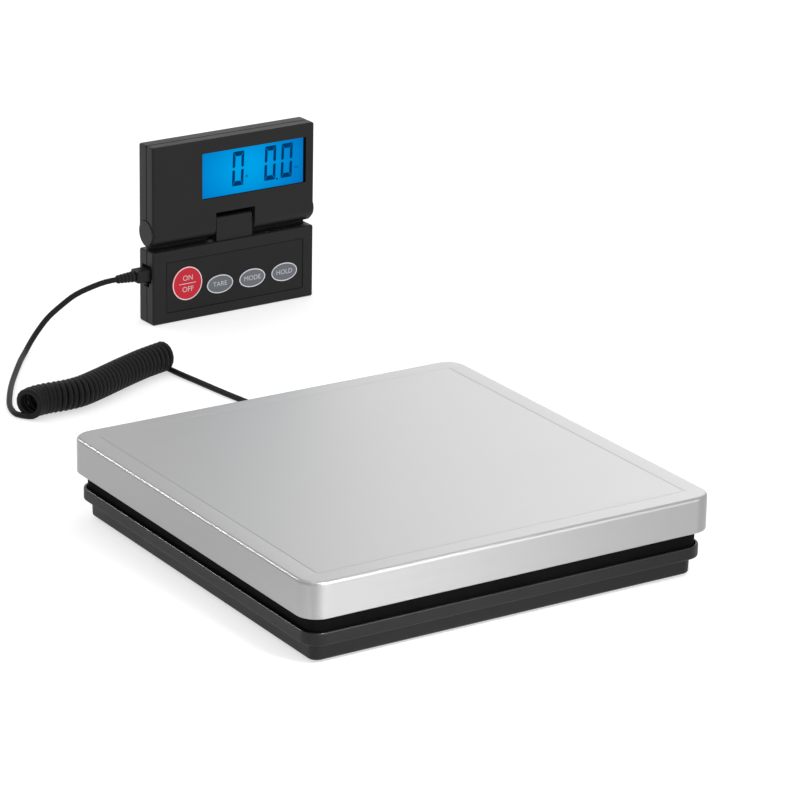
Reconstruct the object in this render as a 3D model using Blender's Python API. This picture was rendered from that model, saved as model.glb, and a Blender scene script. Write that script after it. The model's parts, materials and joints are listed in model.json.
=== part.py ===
"""Parcel scale: a low weighing platform with a steel cover, and a remote indicator on a curly cord.

Metres, +Z up. The origin is the centre of the platform at floor level. +X runs along the
platform's front edge and +Y points back, towards the indicator. Sizes below are in
millimetres, and every mesh is scaled to metres as it is made.
"""

import math

import bmesh
import bpy
from mathutils import Matrix, Vector

MM = 0.001
GAP = 0.3
CORNER_NAMES = ("front_left", "rear_left", "front_right", "rear_right")

# Platform
COVER_HALF = 125.0
COVER_BOTTOM = 27.2
COVER_TOP = 46.9
COVER_SHEET = 0.8
COVER_CORNER = 12.0
COVER_EDGE = 2.0
FRAME_HALF = COVER_HALF - COVER_SHEET - 0.4
FRAME_TOP = COVER_TOP - COVER_SHEET - GAP
FRAME_PLATE = 2.5
FRAME_SKIRT_HALF = 119.6
FRAME_SKIRT_TOP = 28.4
FRAME_SKIRT_BOTTOM = 14.7
FRAME_SKIRT_WALL = 2.2
FRAME_RIB = (1.0, 5.0)
FRAME_RIBS_X = (-90.0, 0.0, 90.0)
FRAME_RIBS_Y = (-60.0, 60.0)
BASE_BOTTOM = 1.5
BASE_FLOOR = 4.0
BASE_BODY_HALF = 117.4
BASE_RIM_HALF = 121.9
BASE_STEP = 11.3
BASE_LEDGE = 13.0
BASE_RIM_TOP = 18.3
BASE_WALL = 2.2
RIM_WALL = 1.5
BASE_CORNER = 10.0
FOOT_PLACE = 97.0
FOOT_RADIUS = 9.0
FOOT_TOP = 1.5
FOOT_STEM = 3.0
FOOT_BARB = 4.4
FOOT_POCKET = (FOOT_RADIUS + 0.6, 1.8)

# Overload stops: a screw in a boss of the base, under a post of the frame
STOP_PLACE = 88.0
STOP_BOSS = 5.5
STOP_BOSS_TOP = 12.0
STOP_SHAFT = 2.0
STOP_TIP = 7.4
STOP_HEAD = 4.0
STOP_HEAD_UNDER = 16.0
STOP_HEAD_TOP = 18.2
STOP_POST = 5.0
OVERLOAD_TRAVEL = 0.1

# Load cell and its fixings
CELL_LENGTH = 130.0
CELL_WIDTH = 30.0
CELL_BOTTOM = 10.1
CELL_TOP = 30.1
CELL_HOLE_SPACING = 13.0
CELL_END_X = 50.5
CELL_EYE_RADIUS = 6.5
CELL_EYE_X = 11.0
CELL_SLOT_HALF = 3.0
BOSS_SIZE = (36.0, 34.0)
BASE_BOSS_TOP = 6.5
FRAME_BOSS_BOTTOM = 33.7
SPACER_SIZE = (32.0, 30.0, 3.0)
M6_SHAFT = 3.0
M6_HEAD = 5.0
M6_HEAD_HEIGHT = 2.7
M6_POCKET = M6_HEAD + 0.4
BASE_SCREW_Z = (2.0, 26.0)
FRAME_SCREW_Z = (14.0, 39.3)
TERMINAL_LOW = (38.0, 88.0)
TERMINAL_HIGH = (78.0, 112.0)
TERMINAL_POSTS = ((42.0, 100.0), (74.0, 100.0))
POST_TOP = 7.4
BOARD = 1.6
CELL_WIRES = (
    (30.0, 15.9, 20.0),
    (30.2, 22.0, 19.6),
    (32.0, 34.0, 14.0),
    (37.0, 52.0, 7.0),
    (44.0, 70.0, 6.0),
    (50.0, 87.5, 8.5),
)

# Indicator: keypad box, then display, on one hinge
INDICATOR_PLACE = (129.3, 392.2)
INDICATOR_YAW = math.radians(1.83)
INDICATOR_HALF_WIDTH = 59.45
INDICATOR_HALF_DEPTH = 8.3
CASE_WALL = 1.8
CASE_EDGE = 1.3
SEAM = -0.8
KEYPAD_HEIGHT = 47.5
HINGE_HEIGHT = 58.7
HINGE_RADIUS = 9.2
HINGE_PIN = 1.5
TOP_RIB_V = (0.5, 3.0)
TOP_RIB_HEIGHT = 49.1
TOP_RIB_INSET = 2.0
NOTCH = (-13.2, 15.5)
NOTCH_TOP = 8.0
NOTCH_WALL_FROM = 1.0
NOTCH_WALL_LAP = 0.5
TONGUE_SIDE_GAP = 1.1
TONGUE_RECESS = 1.5
TONGUE_KNUCKLE = 4.8
TONGUE_CORNER = 2.0
DISPLAY_TOP = 56.5
DISPLAY_FRONT_WALL = 1.4
WINDOW_U = (-23.2, 52.2)
WINDOW_Z = (18.1, 47.6)
END_CAP_RADIUS = 8.0
END_CAP_FLAT = 3.7
END_CAP_PROUD = 0.5
END_CAP_DEPTH = 1.7
PIN_SPANS = {"left": (-24.0, -4.0), "right": (6.3, 26.3)}
LOOM = (1.15, -4.0)
LOOM_RADIUS = 1.2
LOOM_CHANNEL = 1.6
KEYPAD_SCREW = (53.0, 7.0)
DISPLAY_SCREW = (42.0, 5.8)
SCREW_SHAFT = 1.2
SCREW_HEAD = 2.5
SCREW_COUNTERBORE = 2.9
SCREW_SEAT = 5.6
SCREW_TIP = -5.0

# Keypad
OVERLAY_U = (-49.6, 51.8)
OVERLAY_Z = (6.7, 39.8)
OVERLAY_RECESS = 0.75
POWER_KEY = ("power_key", -34.5, 24.2, 10.9, 11.0)
SMALL_KEYS = (
    ("tare_key", -10.5, 19.8, 9.75, 6.15),
    ("mode_key", 13.5, 19.8, 9.75, 6.15),
    ("hold_key", 37.5, 19.8, 9.75, 6.15),
)
KEY_PROUD = 0.3
KEY_FLANGE = 0.9
KEY_FLANGE_V = (-6.1, -5.6)
MAT_V = (-4.2, -3.8)
MAIN_BOARD_V = (-3.5, -2.5)

# Batteries
CELL_RADIUS = 5.25
CELL_SHOULDER = 4.6
CELL_SPAN_U = (6.5, 51.0)
CELL_NUB = 1.0
CELL_HEIGHTS = (29.6, 40.2)
CELL_V = 0.95
BAY_U = (1.0, 53.6)
BAY_FLOOR = 22.4
DOOR_U0 = 0.4
DOOR_V = (6.6, 7.3)
DOOR_OUTER_Z = (24.5, 45.0)
DOOR_INNER_Z = (23.7, 45.8)

# Socket and plug, on the indicator's left side
SOCKET_V = (-6.0, 4.8)
SOCKET_Z = (27.0, 38.2)
LATCH_SLOT_V = (-3.6, 2.4)
LATCH_SLOT_Z = (24.2, 27.1)
JACK_BACK_U = -47.2
PLUG_V = -0.8
PLUG_Z = 32.4
PLUG_NOSE = (8.4, 6.4)
PLUG_GRIP = (8.8, 8.0)
PLUG_GRIP_U = (-68.6, -57.6)
PLUG_NOSE_TIP = -49.2
LEVER_END_U = -60.6
LEVER_HALF = 1.6
BOOT_U = (-81.0, -68.9)
BOOT_RIBS = 5
BOOT_RADIUS = 2.6

# Cord
CORD_RADIUS = 1.75
CORD_ON_FLOOR = 1.85
COIL_RADIUS = 9.3
COIL_AXIS_Z = 9.45
GLAND_X = 58.0
GLAND_Z = 7.6
GLAND_TIP = 138.0
GLAND_NECK = 2.6
GLAND_FLANGES = (3.3, 3.1)
LEAD_TO_INDICATOR = (
    (48.1, 388.8, 32.4),
    (40.0, 388.5, 32.2),
    (30.7, 388.2, 30.7),
    (19.5, 388.8, 27.3),
    (9.7, 388.3, 22.4),
    (-0.3, 387.4, 16.4),
    (-9.2, 384.2, 10.2),
    (-17.2, 378.9, 5.5),
    (-24.8, 371.3, 2.8),
    (-32.9, 361.6, 1.9),
    (-45.4, 343.8, 1.85),
    (-57.9, 325.0, 1.85),
    (-69.0, 306.0, 1.85),
    (-76.6, 290.5, 1.85),
    (-79.3, 277.6, 1.85),
)
COIL_AXIS = (
    (-76.6, 268.9),
    (-70.0, 272.6),
    (-61.0, 273.8),
    (-50.0, 273.3),
    (-38.3, 274.8),
    (-21.5, 281.8),
    (-2.7, 291.0),
    (15.5, 299.2),
    (28.0, 303.6),
    (38.0, 306.8),
)
LEAD_TO_BASE = (
    (38.2, 290.6, 1.85),
    (41.0, 271.0, 1.85),
    (44.0, 250.0, 1.85),
    (47.4, 229.6, 1.85),
    (50.6, 209.0, 1.85),
    (53.4, 190.0, 1.9),
    (55.7, 173.0, 2.4),
    (57.3, 158.0, 4.7),
    (57.9, 147.0, 6.9),
    (58.0, 138.3, 7.6),
)


# Scene helpers


def clear_scene():
    for obj in list(bpy.data.objects):
        bpy.data.objects.remove(obj)


def make_material(name, colour, roughness, metallic=0.0):
    material = bpy.data.materials.new(name)
    material.use_nodes = True
    shader = material.node_tree.nodes["Principled BSDF"]
    shader.inputs["Base Color"].default_value = (*colour, 1.0)
    shader.inputs["Roughness"].default_value = roughness
    shader.inputs["Metallic"].default_value = metallic
    return material


def make_empty(name, location, yaw=0.0, parent=None):
    empty = bpy.data.objects.new(name, None)
    empty.location = Vector(location) * MM
    empty.rotation_euler = (0.0, 0.0, yaw)
    empty.parent = parent
    bpy.context.scene.collection.objects.link(empty)
    return empty


def make_solid(name, shape, material=None, parent=None):
    """An object from a shape function, which fills a bmesh in millimetres."""
    bm = bmesh.new()
    shape(bm)
    bmesh.ops.scale(bm, vec=(MM, MM, MM), verts=bm.verts)
    bmesh.ops.recalc_face_normals(bm, faces=bm.faces)
    mesh = bpy.data.meshes.new(name)
    bm.to_mesh(mesh)
    bm.free()
    mesh.shade_smooth()
    mesh.set_sharp_from_angle(angle=math.radians(35.0))
    if material:
        mesh.materials.append(material)
    obj = bpy.data.objects.new(name, mesh)
    obj.parent = parent
    bpy.context.scene.collection.objects.link(obj)
    return obj


def combine(obj, operation, *shapes):
    """Adds one Boolean for each shape, with a hidden helper in the object's own frame."""
    for number, shape in enumerate(shapes):
        name = f"{obj.name}_{operation.lower()}_{len(obj.modifiers)}"
        helper = make_solid(name, shape, parent=obj.parent)
        helper.matrix_parent_inverse = obj.matrix_parent_inverse
        helper.hide_render = True
        helper.display_type = "WIRE"
        boolean = obj.modifiers.new(f"{operation.lower()} {number}", "BOOLEAN")
        boolean.operation = operation
        boolean.object = helper
    return obj


def cut(obj, *shapes):
    return combine(obj, "DIFFERENCE", *shapes)


def add(obj, *shapes):
    return combine(obj, "UNION", *shapes)


# Shapes, each a function that fills a bmesh


def box(low, high):
    def fill(bm):
        size = Vector(high) - Vector(low)
        middle = (Vector(high) + Vector(low)) / 2
        matrix = Matrix.Translation(middle) @ Matrix.Diagonal((*size, 1.0))
        bmesh.ops.create_cube(bm, size=1.0, matrix=matrix)

    return fill


def rounded_box(low, high, radius, segments=2):
    def fill(bm):
        box(low, high)(bm)
        edges = bm.edges[:]
        bmesh.ops.bevel(bm, geom=edges, offset=radius, segments=segments, profile=0.5, affect="EDGES")

    return fill


def loft(rings):
    """Joins rings of equally many points, and closes the two ends with flat faces."""

    def fill(bm):
        rows = [[bm.verts.new(point) for point in ring] for ring in rings]
        for lower, upper in zip(rows, rows[1:]):
            for i in range(len(lower)):
                j = (i + 1) % len(lower)
                bm.faces.new((lower[i], lower[j], upper[j], upper[i]))
        bm.faces.new(rows[0][::-1])
        bm.faces.new(rows[-1])

    return fill


def circle_points(radius_a, radius_b, segments):
    turns = (2 * math.pi * i / segments for i in range(segments))
    return [(radius_a * math.cos(turn), radius_b * math.sin(turn)) for turn in turns]


def along(axis, outline, place):
    """The outline's points on the plane across axis at place, with the other two axes in order."""
    if axis == "X":
        return [(place, a, b) for a, b in outline]
    if axis == "Y":
        return [(a, place, b) for a, b in outline]
    return [(a, b, place) for a, b in outline]


def prism(axis, outline, start, end):
    return loft([along(axis, outline, start), along(axis, outline, end)])


def turned(axis, centre, steps, segments=20):
    """A round piece along axis, from (place, radius) steps."""
    rings = []
    for place, radius in steps:
        outline = circle_points(radius, radius, segments)
        moved = [(centre[0] + a, centre[1] + b) for a, b in outline]
        rings.append(along(axis, moved, place))
    return loft(rings)


def cylinder(axis, centre, radius, start, end, segments=20):
    return turned(axis, centre, ((start, radius), (end, radius)), segments)


def rounded_square(half, radius, z, segments=6):
    """A square with round corners at height z."""
    inner = half - radius
    points = []
    for quarter in range(4):
        start = quarter * math.pi / 2
        sign_x = 1 if quarter in (0, 3) else -1
        sign_y = 1 if quarter in (0, 1) else -1
        for i in range(segments + 1):
            turn = start + math.pi / 2 * i / segments
            points.append((
                sign_x * inner + radius * math.cos(turn),
                sign_y * inner + radius * math.sin(turn),
                z,
            ))
    return points


def tray(profile, corner):
    """A square tray from (half width, height) steps: outside first, then back along the inside."""
    outermost = max(half for half, _ in profile)
    rings = []
    for half, z in profile:
        radius = max(corner - (outermost - half), 1.5)
        rings.append(rounded_square(half, radius, z))
    return loft(rings)


def arc(centre, radius, start, end, steps):
    """Points on an arc, from start to end in degrees."""
    turns = (math.radians(start + (end - start) * i / steps) for i in range(steps + 1))
    return [(centre[0] + radius * math.cos(t), centre[1] + radius * math.sin(t)) for t in turns]


def corners(place):
    return [(x, y) for x in (-place, place) for y in (-place, place)]


# Platform


def build_base_tray(plastic):
    profile = (
        (BASE_BODY_HALF - 1.5, BASE_BOTTOM),
        (BASE_BODY_HALF - 0.2, BASE_BOTTOM + 1.3),
        (BASE_BODY_HALF, BASE_STEP - 0.4),
        (BASE_BODY_HALF + 0.4, BASE_STEP),
        (BASE_RIM_HALF - 1.0, BASE_STEP),
        (BASE_RIM_HALF, BASE_STEP + 1.0),
        (BASE_RIM_HALF, BASE_RIM_TOP - 0.5),
        (BASE_RIM_HALF - 0.5, BASE_RIM_TOP),
        (BASE_RIM_HALF - RIM_WALL, BASE_RIM_TOP),
        (BASE_RIM_HALF - RIM_WALL, BASE_LEDGE),
        (BASE_BODY_HALF - BASE_WALL, BASE_LEDGE),
        (BASE_BODY_HALF - BASE_WALL, BASE_FLOOR),
    )
    base = make_solid("base_tray", tray(profile, BASE_CORNER), plastic)
    boss_x, boss_y = BOSS_SIZE
    under = BASE_BOTTOM + 0.5
    add(
        base,
        box(
            (-CELL_END_X - boss_x / 2, -boss_y / 2, under),
            (-CELL_END_X + boss_x / 2, boss_y / 2, BASE_BOSS_TOP),
        ),
        *(cylinder("Z", place, STOP_BOSS, under, STOP_BOSS_TOP, 12) for place in corners(STOP_PLACE)),
        *(cylinder("Z", place, 2.5, under, POST_TOP, 10) for place in TERMINAL_POSTS),
    )
    for x in (-CELL_END_X - CELL_HOLE_SPACING / 2, -CELL_END_X + CELL_HOLE_SPACING / 2):
        cut(
            base,
            cylinder("Z", (x, 0.0), M6_POCKET, 0.0, BASE_SCREW_Z[0] + M6_HEAD_HEIGHT + GAP),
            cylinder("Z", (x, 0.0), M6_SHAFT + GAP, BASE_FLOOR, BASE_BOSS_TOP + 1.5),
        )
    pocket_radius, pocket_top = FOOT_POCKET
    for place in corners(FOOT_PLACE):
        cut(
            base,
            cylinder("Z", place, pocket_radius, 0.0, pocket_top, 16),
            cylinder("Z", place, FOOT_STEM + GAP, 0.0, BASE_FLOOR + 1.0, 12),
        )
    for place in corners(STOP_PLACE):
        cut(base, cylinder("Z", place, STOP_SHAFT + 0.4, STOP_TIP - 0.4, STOP_BOSS_TOP + 1.0, 12))
    wall_inside = BASE_BODY_HALF - BASE_WALL
    gland_hole = (GLAND_NECK + GAP, wall_inside - 2.0, BASE_BODY_HALF + 1.6)
    cut(base, cylinder("Y", (GLAND_X, GLAND_Z), *gland_hole, 16))


def build_feet(rubber):
    steps = (
        (0.0, FOOT_RADIUS - 0.8),
        (0.4, FOOT_RADIUS),
        (FOOT_TOP, FOOT_RADIUS),
        (FOOT_TOP, FOOT_STEM),
        (BASE_FLOOR + 0.4, FOOT_STEM),
        (BASE_FLOOR + 0.4, FOOT_BARB),
        (BASE_FLOOR + 2.4, FOOT_BARB - 1.0),
    )
    for name, place in zip(CORNER_NAMES, corners(FOOT_PLACE)):
        make_solid(f"foot_{name}", turned("Z", place, steps, 16), rubber)


def build_overload_stops(steel):
    steps = (
        (STOP_TIP, STOP_SHAFT),
        (STOP_HEAD_UNDER, STOP_SHAFT),
        (STOP_HEAD_UNDER, STOP_HEAD),
        (STOP_HEAD_TOP, STOP_HEAD),
    )
    for name, place in zip(CORNER_NAMES, corners(STOP_PLACE)):
        make_solid(f"overload_stop_{name}", turned("Z", place, steps, 12), steel)


def build_platform_frame(plastic):
    plate_under = FRAME_TOP - FRAME_PLATE
    profile = (
        (FRAME_SKIRT_HALF - FRAME_SKIRT_WALL, plate_under),
        (FRAME_SKIRT_HALF - FRAME_SKIRT_WALL, FRAME_SKIRT_BOTTOM),
        (FRAME_SKIRT_HALF - 0.4, FRAME_SKIRT_BOTTOM),
        (FRAME_SKIRT_HALF, FRAME_SKIRT_TOP),
        (FRAME_HALF, FRAME_SKIRT_TOP),
        (FRAME_HALF, FRAME_TOP - COVER_EDGE),
        (FRAME_HALF - 1.0, FRAME_TOP - 1.0),
        (FRAME_HALF - COVER_EDGE, FRAME_TOP),
    )
    frame = make_solid("platform_frame", tray(profile, COVER_CORNER - COVER_SHEET), plastic)
    inside = FRAME_SKIRT_HALF - FRAME_SKIRT_WALL + 0.5
    rib, rib_depth = FRAME_RIB
    rib_bottom = plate_under - rib_depth
    rib_top = plate_under + 0.5
    add(frame, *(box((-inside, y - rib, rib_bottom), (inside, y + rib, rib_top)) for y in FRAME_RIBS_Y))
    add(frame, *(box((x - rib, -inside, rib_bottom), (x + rib, inside, rib_top)) for x in FRAME_RIBS_X))
    boss_x, boss_y = BOSS_SIZE
    post_bottom = STOP_HEAD_TOP + GAP + OVERLOAD_TRAVEL
    add(
        frame,
        box(
            (CELL_END_X - boss_x / 2, -boss_y / 2, FRAME_BOSS_BOTTOM),
            (CELL_END_X + boss_x / 2, boss_y / 2, rib_top),
        ),
        *(cylinder("Z", place, STOP_POST, post_bottom, rib_top, 12) for place in corners(STOP_PLACE)),
    )
    head_seat = FRAME_SCREW_Z[1] - GAP
    for x in (CELL_END_X - CELL_HOLE_SPACING / 2, CELL_END_X + CELL_HOLE_SPACING / 2):
        cut(
            frame,
            cylinder("Z", (x, 0.0), M6_POCKET, head_seat, FRAME_TOP + 4.0),
            cylinder("Z", (x, 0.0), M6_SHAFT + GAP, FRAME_BOSS_BOTTOM - 3.0, head_seat + 1.0),
        )


def build_platter_cover(steel):
    outside = arc((COVER_HALF - COVER_EDGE, COVER_TOP - COVER_EDGE), COVER_EDGE, 0.0, 90.0, 4)
    inner_edge = COVER_EDGE - COVER_SHEET
    inside = arc((COVER_HALF - COVER_EDGE, COVER_TOP - COVER_EDGE), inner_edge, 90.0, 0.0, 3)
    profile = (
        *reversed(outside),
        (COVER_HALF, COVER_BOTTOM),
        (COVER_HALF - COVER_SHEET, COVER_BOTTOM),
        *reversed(inside),
    )
    make_solid("platter_cover", tray(profile, COVER_CORNER), steel)


def build_load_cell(aluminium, steel):
    length, width = CELL_LENGTH / 2, CELL_WIDTH / 2
    block = box((-length, -width, CELL_BOTTOM), (length, width, CELL_TOP))
    beam = make_solid("load_cell_beam", block, aluminium)
    middle = (CELL_BOTTOM + CELL_TOP) / 2
    slot_low, slot_high = middle - CELL_SLOT_HALF, middle + CELL_SLOT_HALF
    cut(
        beam,
        cylinder("Y", (-CELL_EYE_X, middle), CELL_EYE_RADIUS, -width - 1, width + 1),
        cylinder("Y", (CELL_EYE_X, middle), CELL_EYE_RADIUS, -width - 1, width + 1),
        box((-CELL_EYE_X, -width - 2, slot_low), (CELL_EYE_X, width + 2, slot_high)),
    )
    for end in (-CELL_END_X, CELL_END_X):
        for x in (end - CELL_HOLE_SPACING / 2, end + CELL_HOLE_SPACING / 2):
            cut(beam, cylinder("Z", (x, 0.0), M6_SHAFT + GAP, CELL_BOTTOM - 1, CELL_TOP + 1, 16))
    build_spacer("load_cell_spacer_lower", -CELL_END_X, BASE_BOSS_TOP + GAP, steel)
    build_spacer("load_cell_spacer_upper", CELL_END_X, CELL_TOP + GAP, steel)
    build_cell_screws(steel)


def build_spacer(name, x, bottom, steel):
    size_x, size_y, height = SPACER_SIZE
    spacer = make_solid(
        name,
        box((x - size_x / 2, -size_y / 2, bottom), (x + size_x / 2, size_y / 2, bottom + height)),
        steel,
    )
    for hole in (x - CELL_HOLE_SPACING / 2, x + CELL_HOLE_SPACING / 2):
        cut(spacer, cylinder("Z", (hole, 0.0), M6_SHAFT + GAP, bottom - 1, bottom + height + 1, 16))


def build_cell_screws(steel):
    head, tip = BASE_SCREW_Z
    under = head + M6_HEAD_HEIGHT
    from_below = ((head, M6_HEAD), (under, M6_HEAD), (under, M6_SHAFT), (tip, M6_SHAFT))
    tip, under = FRAME_SCREW_Z
    head = under + M6_HEAD_HEIGHT
    from_above = ((tip, M6_SHAFT), (under, M6_SHAFT), (under, M6_HEAD), (head, M6_HEAD))
    for name, steps, end in (("base", from_below, -CELL_END_X), ("platform", from_above, CELL_END_X)):
        for number, side in enumerate((-1, 1), start=1):
            place = (end + side * CELL_HOLE_SPACING / 2, 0.0)
            make_solid(f"cell_screw_{name}_{number}", turned("Z", place, steps, 12), steel)


def build_terminal_board(board_green):
    low, high = (*TERMINAL_LOW, POST_TOP + GAP), (*TERMINAL_HIGH, POST_TOP + GAP + BOARD)
    make_solid("terminal_board", box(low, high), board_green)


def build_cell_wires(rubber):
    make_tube("load_cell_wires", CELL_WIRES, 1.2, rubber, step=7.0)


def build_gland(rubber):
    wall_inside, wall_outside = BASE_BODY_HALF - BASE_WALL, BASE_BODY_HALF
    inner, outer = GLAND_FLANGES
    steps = (
        (wall_inside - 3.0, inner),
        (wall_inside - GAP, inner),
        (wall_inside - GAP, GLAND_NECK),
        (wall_outside + GAP, GLAND_NECK),
        (wall_outside + GAP, outer),
        (wall_outside + 2.2, outer),
        (wall_outside + 2.6, outer - 0.3),
        (GLAND_TIP, GLAND_NECK - 0.2),
    )
    make_solid("cord_gland", turned("Y", (GLAND_X, GLAND_Z), steps, 16), rubber)


# Curves


def smooth_route(points, step):
    """Points about a step apart along a Catmull-Rom curve through the route's own points."""
    route = [Vector(point) for point in points]
    route = [2 * route[0] - route[1], *route, 2 * route[-1] - route[-2]]
    found = []
    for before, start, end, after in zip(route, route[1:], route[2:], route[3:]):
        count = max(1, round((end - start).length / step))
        for i in range(count):
            t = i / count
            found.append(
                (
                    2 * start
                    + (end - before) * t
                    + (2 * before - 5 * start + 4 * end - after) * t**2
                    + (3 * start - before - 3 * end + after) * t**3
                )
                / 2
            )
    return [*found, route[-2]]


def make_tube(name, route, radius, material, step, resolution=2):
    curve = bpy.data.curves.new(name, "CURVE")
    curve.dimensions = "3D"
    curve.bevel_depth = radius * MM
    curve.bevel_resolution = resolution
    curve.use_fill_caps = True
    points = smooth_route(route, step)
    spline = curve.splines.new("POLY")
    spline.points.add(len(points) - 1)
    for target, point in zip(spline.points, points):
        target.co = (*(point * MM), 1.0)
    curve.materials.append(material)
    obj = bpy.data.objects.new(name, curve)
    bpy.context.scene.collection.objects.link(obj)
    return obj


def build_cord(vinyl):
    coil_route = [(x, y, COIL_AXIS_Z) for x, y in COIL_AXIS]
    make_tube("cord_lead_indicator", LEAD_TO_INDICATOR, CORD_RADIUS, vinyl, step=8.0)
    make_tube("cord_coil", coil_route, COIL_RADIUS, vinyl, step=9.0, resolution=4)
    make_tube("cord_lead_base", LEAD_TO_BASE, CORD_RADIUS, vinyl, step=8.0)


# Indicator. In its own frame u runs right, v back and z up, from the middle of its foot.


def build_keypad_front(indicator, plastic):
    half, depth = INDICATOR_HALF_WIDTH, INDICATOR_HALF_DEPTH
    shell = make_solid(
        "keypad_front_shell",
        rounded_box((-half, -depth, 0.0), (half, depth, KEYPAD_HEIGHT), CASE_EDGE),
        plastic,
        indicator,
    )
    inner = half - CASE_WALL
    cut(
        shell,
        box((-half - 5, SEAM - GAP / 2, -5.0), (half + 5, depth + 5, KEYPAD_HEIGHT + 5)),
        box((-inner, -depth + CASE_WALL, CASE_WALL), (inner, 0.0, KEYPAD_HEIGHT - CASE_WALL)),
        box(
            (OVERLAY_U[0], -depth - 1, OVERLAY_Z[0]),
            (OVERLAY_U[1], -depth + OVERLAY_RECESS, OVERLAY_Z[1]),
        ),
    )
    for _, u, z, half_u, half_z in (POWER_KEY, *SMALL_KEYS):
        cut(shell, key_shape(u, z, half_u + GAP, half_z + GAP, -depth - 1, -5.0))
    cut(shell, *socket_shapes())
    add(shell, prism("X", tongue_outline(), NOTCH[0] + TONGUE_SIDE_GAP, NOTCH[1] - TONGUE_SIDE_GAP))
    for place in both_sides(KEYPAD_SCREW):
        add(shell, cylinder("Y", place, 3.0, -depth + CASE_WALL - 0.5, SEAM - GAP / 2, 12))
        cut(shell, cylinder("Y", place, SCREW_SHAFT + GAP, -6.0, 0.0, 12))
    u, v = LOOM
    cut(
        shell,
        box(
            (u - LOOM_CHANNEL, v - LOOM_CHANNEL, KEYPAD_HEIGHT - 5),
            (u + LOOM_CHANNEL, v + LOOM_CHANNEL, HINGE_HEIGHT - 2.7),
        ),
        cylinder("X", (0.0, HINGE_HEIGHT), HINGE_PIN + GAP, NOTCH[0] - 5, NOTCH[1] + 5, 16),
    )


def both_sides(place):
    return [(-place[0], place[1]), place]


def tongue_outline():
    """Side view of the hinge tongue: a flat front, then a knuckle round the hinge's axis."""
    front = -INDICATOR_HALF_DEPTH + TONGUE_RECESS
    back = SEAM - GAP
    top = HINGE_HEIGHT + TONGUE_KNUCKLE
    root = KEYPAD_HEIGHT - 1.0
    corner = (front + TONGUE_CORNER, top - TONGUE_CORNER)
    return [
        (front, root),
        *arc(corner, TONGUE_CORNER, 180.0, 90.0, 3),
        *arc((0.0, HINGE_HEIGHT), TONGUE_KNUCKLE, 90.0, -90.0, 10),
        (back, HINGE_HEIGHT - TONGUE_KNUCKLE - 1.0),
        (back, root),
    ]


def socket_shapes():
    outside = -INDICATOR_HALF_WIDTH - 2
    inside = -INDICATOR_HALF_WIDTH + CASE_WALL + 0.5
    return [
        box((outside, v[0], z[0]), (inside, v[1], z[1]))
        for v, z in ((SOCKET_V, SOCKET_Z), (LATCH_SLOT_V, LATCH_SLOT_Z))
    ]


def build_keypad_rear(indicator, plastic):
    half, depth = INDICATOR_HALF_WIDTH, INDICATOR_HALF_DEPTH
    shell = make_solid(
        "keypad_rear_shell",
        rounded_box((-half, -depth, 0.0), (half, depth, KEYPAD_HEIGHT), CASE_EDGE),
        plastic,
        indicator,
    )
    inner = half - CASE_WALL
    cut(
        shell,
        box((-half - 5, -depth - 5, -5.0), (half + 5, SEAM + GAP / 2, KEYPAD_HEIGHT + 5)),
        box((-inner, -depth, CASE_WALL), (inner, depth - CASE_WALL, KEYPAD_HEIGHT - CASE_WALL)),
        *socket_shapes(),
    )
    wall_top = KEYPAD_HEIGHT - CASE_WALL + 0.4
    wall_back = depth - CASE_WALL + 0.4
    add(
        shell,
        box((BAY_U[0], -0.4, BAY_FLOOR - 1.2), (inner + 0.4, wall_back, BAY_FLOOR)),
        box((BAY_U[0], -0.4, BAY_FLOOR - 0.6), (BAY_U[0] + 1.2, wall_back, wall_top)),
        box((BAY_U[1], -0.4, BAY_FLOOR - 0.6), (BAY_U[1] + 1.2, wall_back, wall_top)),
    )
    door_u = DOOR_U0 - GAP
    cut(
        shell,
        box((door_u, DOOR_V[1], DOOR_OUTER_Z[0] - GAP), (half + 5, depth + 5, DOOR_OUTER_Z[1] + GAP)),
        box((door_u, DOOR_V[0] - GAP, DOOR_INNER_Z[0] - GAP), (half + 5, 7.6, DOOR_INNER_Z[1] + GAP)),
        box((BAY_U[0] + 1.2, 0.0, BAY_FLOOR + 1.6), (BAY_U[1], 7.0, DOOR_INNER_Z[1] - 0.6)),
    )
    rib_half = half - TOP_RIB_INSET
    add(shell, box((-rib_half, TOP_RIB_V[0], wall_top), (rib_half, TOP_RIB_V[1], TOP_RIB_HEIGHT)))
    for place in both_sides(KEYPAD_SCREW):
        add(shell, cylinder("Y", place, 3.2, SEAM + GAP / 2, wall_back, 12))
        cut_screw_hole(shell, place)


def cut_screw_hole(shell, place):
    """A counterbored hole from the back for a case screw."""
    cut(
        shell,
        cylinder("Y", place, SCREW_COUNTERBORE, SCREW_SEAT, INDICATOR_HALF_DEPTH + 3.0, 14),
        cylinder("Y", place, SCREW_SHAFT + GAP, SCREW_TIP - 0.6, SCREW_SEAT + 0.4, 12),
    )


def build_case_screws(indicator, hinge, steel):
    under = SCREW_SEAT + GAP
    steps = ((SCREW_TIP, SCREW_SHAFT), (under, SCREW_SHAFT), (under, SCREW_HEAD), (7.7, SCREW_HEAD))
    for case, screw, parent in (("keypad", KEYPAD_SCREW, indicator), ("display", DISPLAY_SCREW, hinge)):
        for side, place in zip(("left", "right"), both_sides(screw)):
            make_solid(f"{case}_screw_{side}", turned("Y", place, steps, 12), steel, parent)


def key_shape(u, z, half_u, half_z, front, back, segments=28):
    outline = [(u + a, z + b) for a, b in circle_points(half_u, half_z, segments)]
    return prism("Y", outline, front, back)


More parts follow.
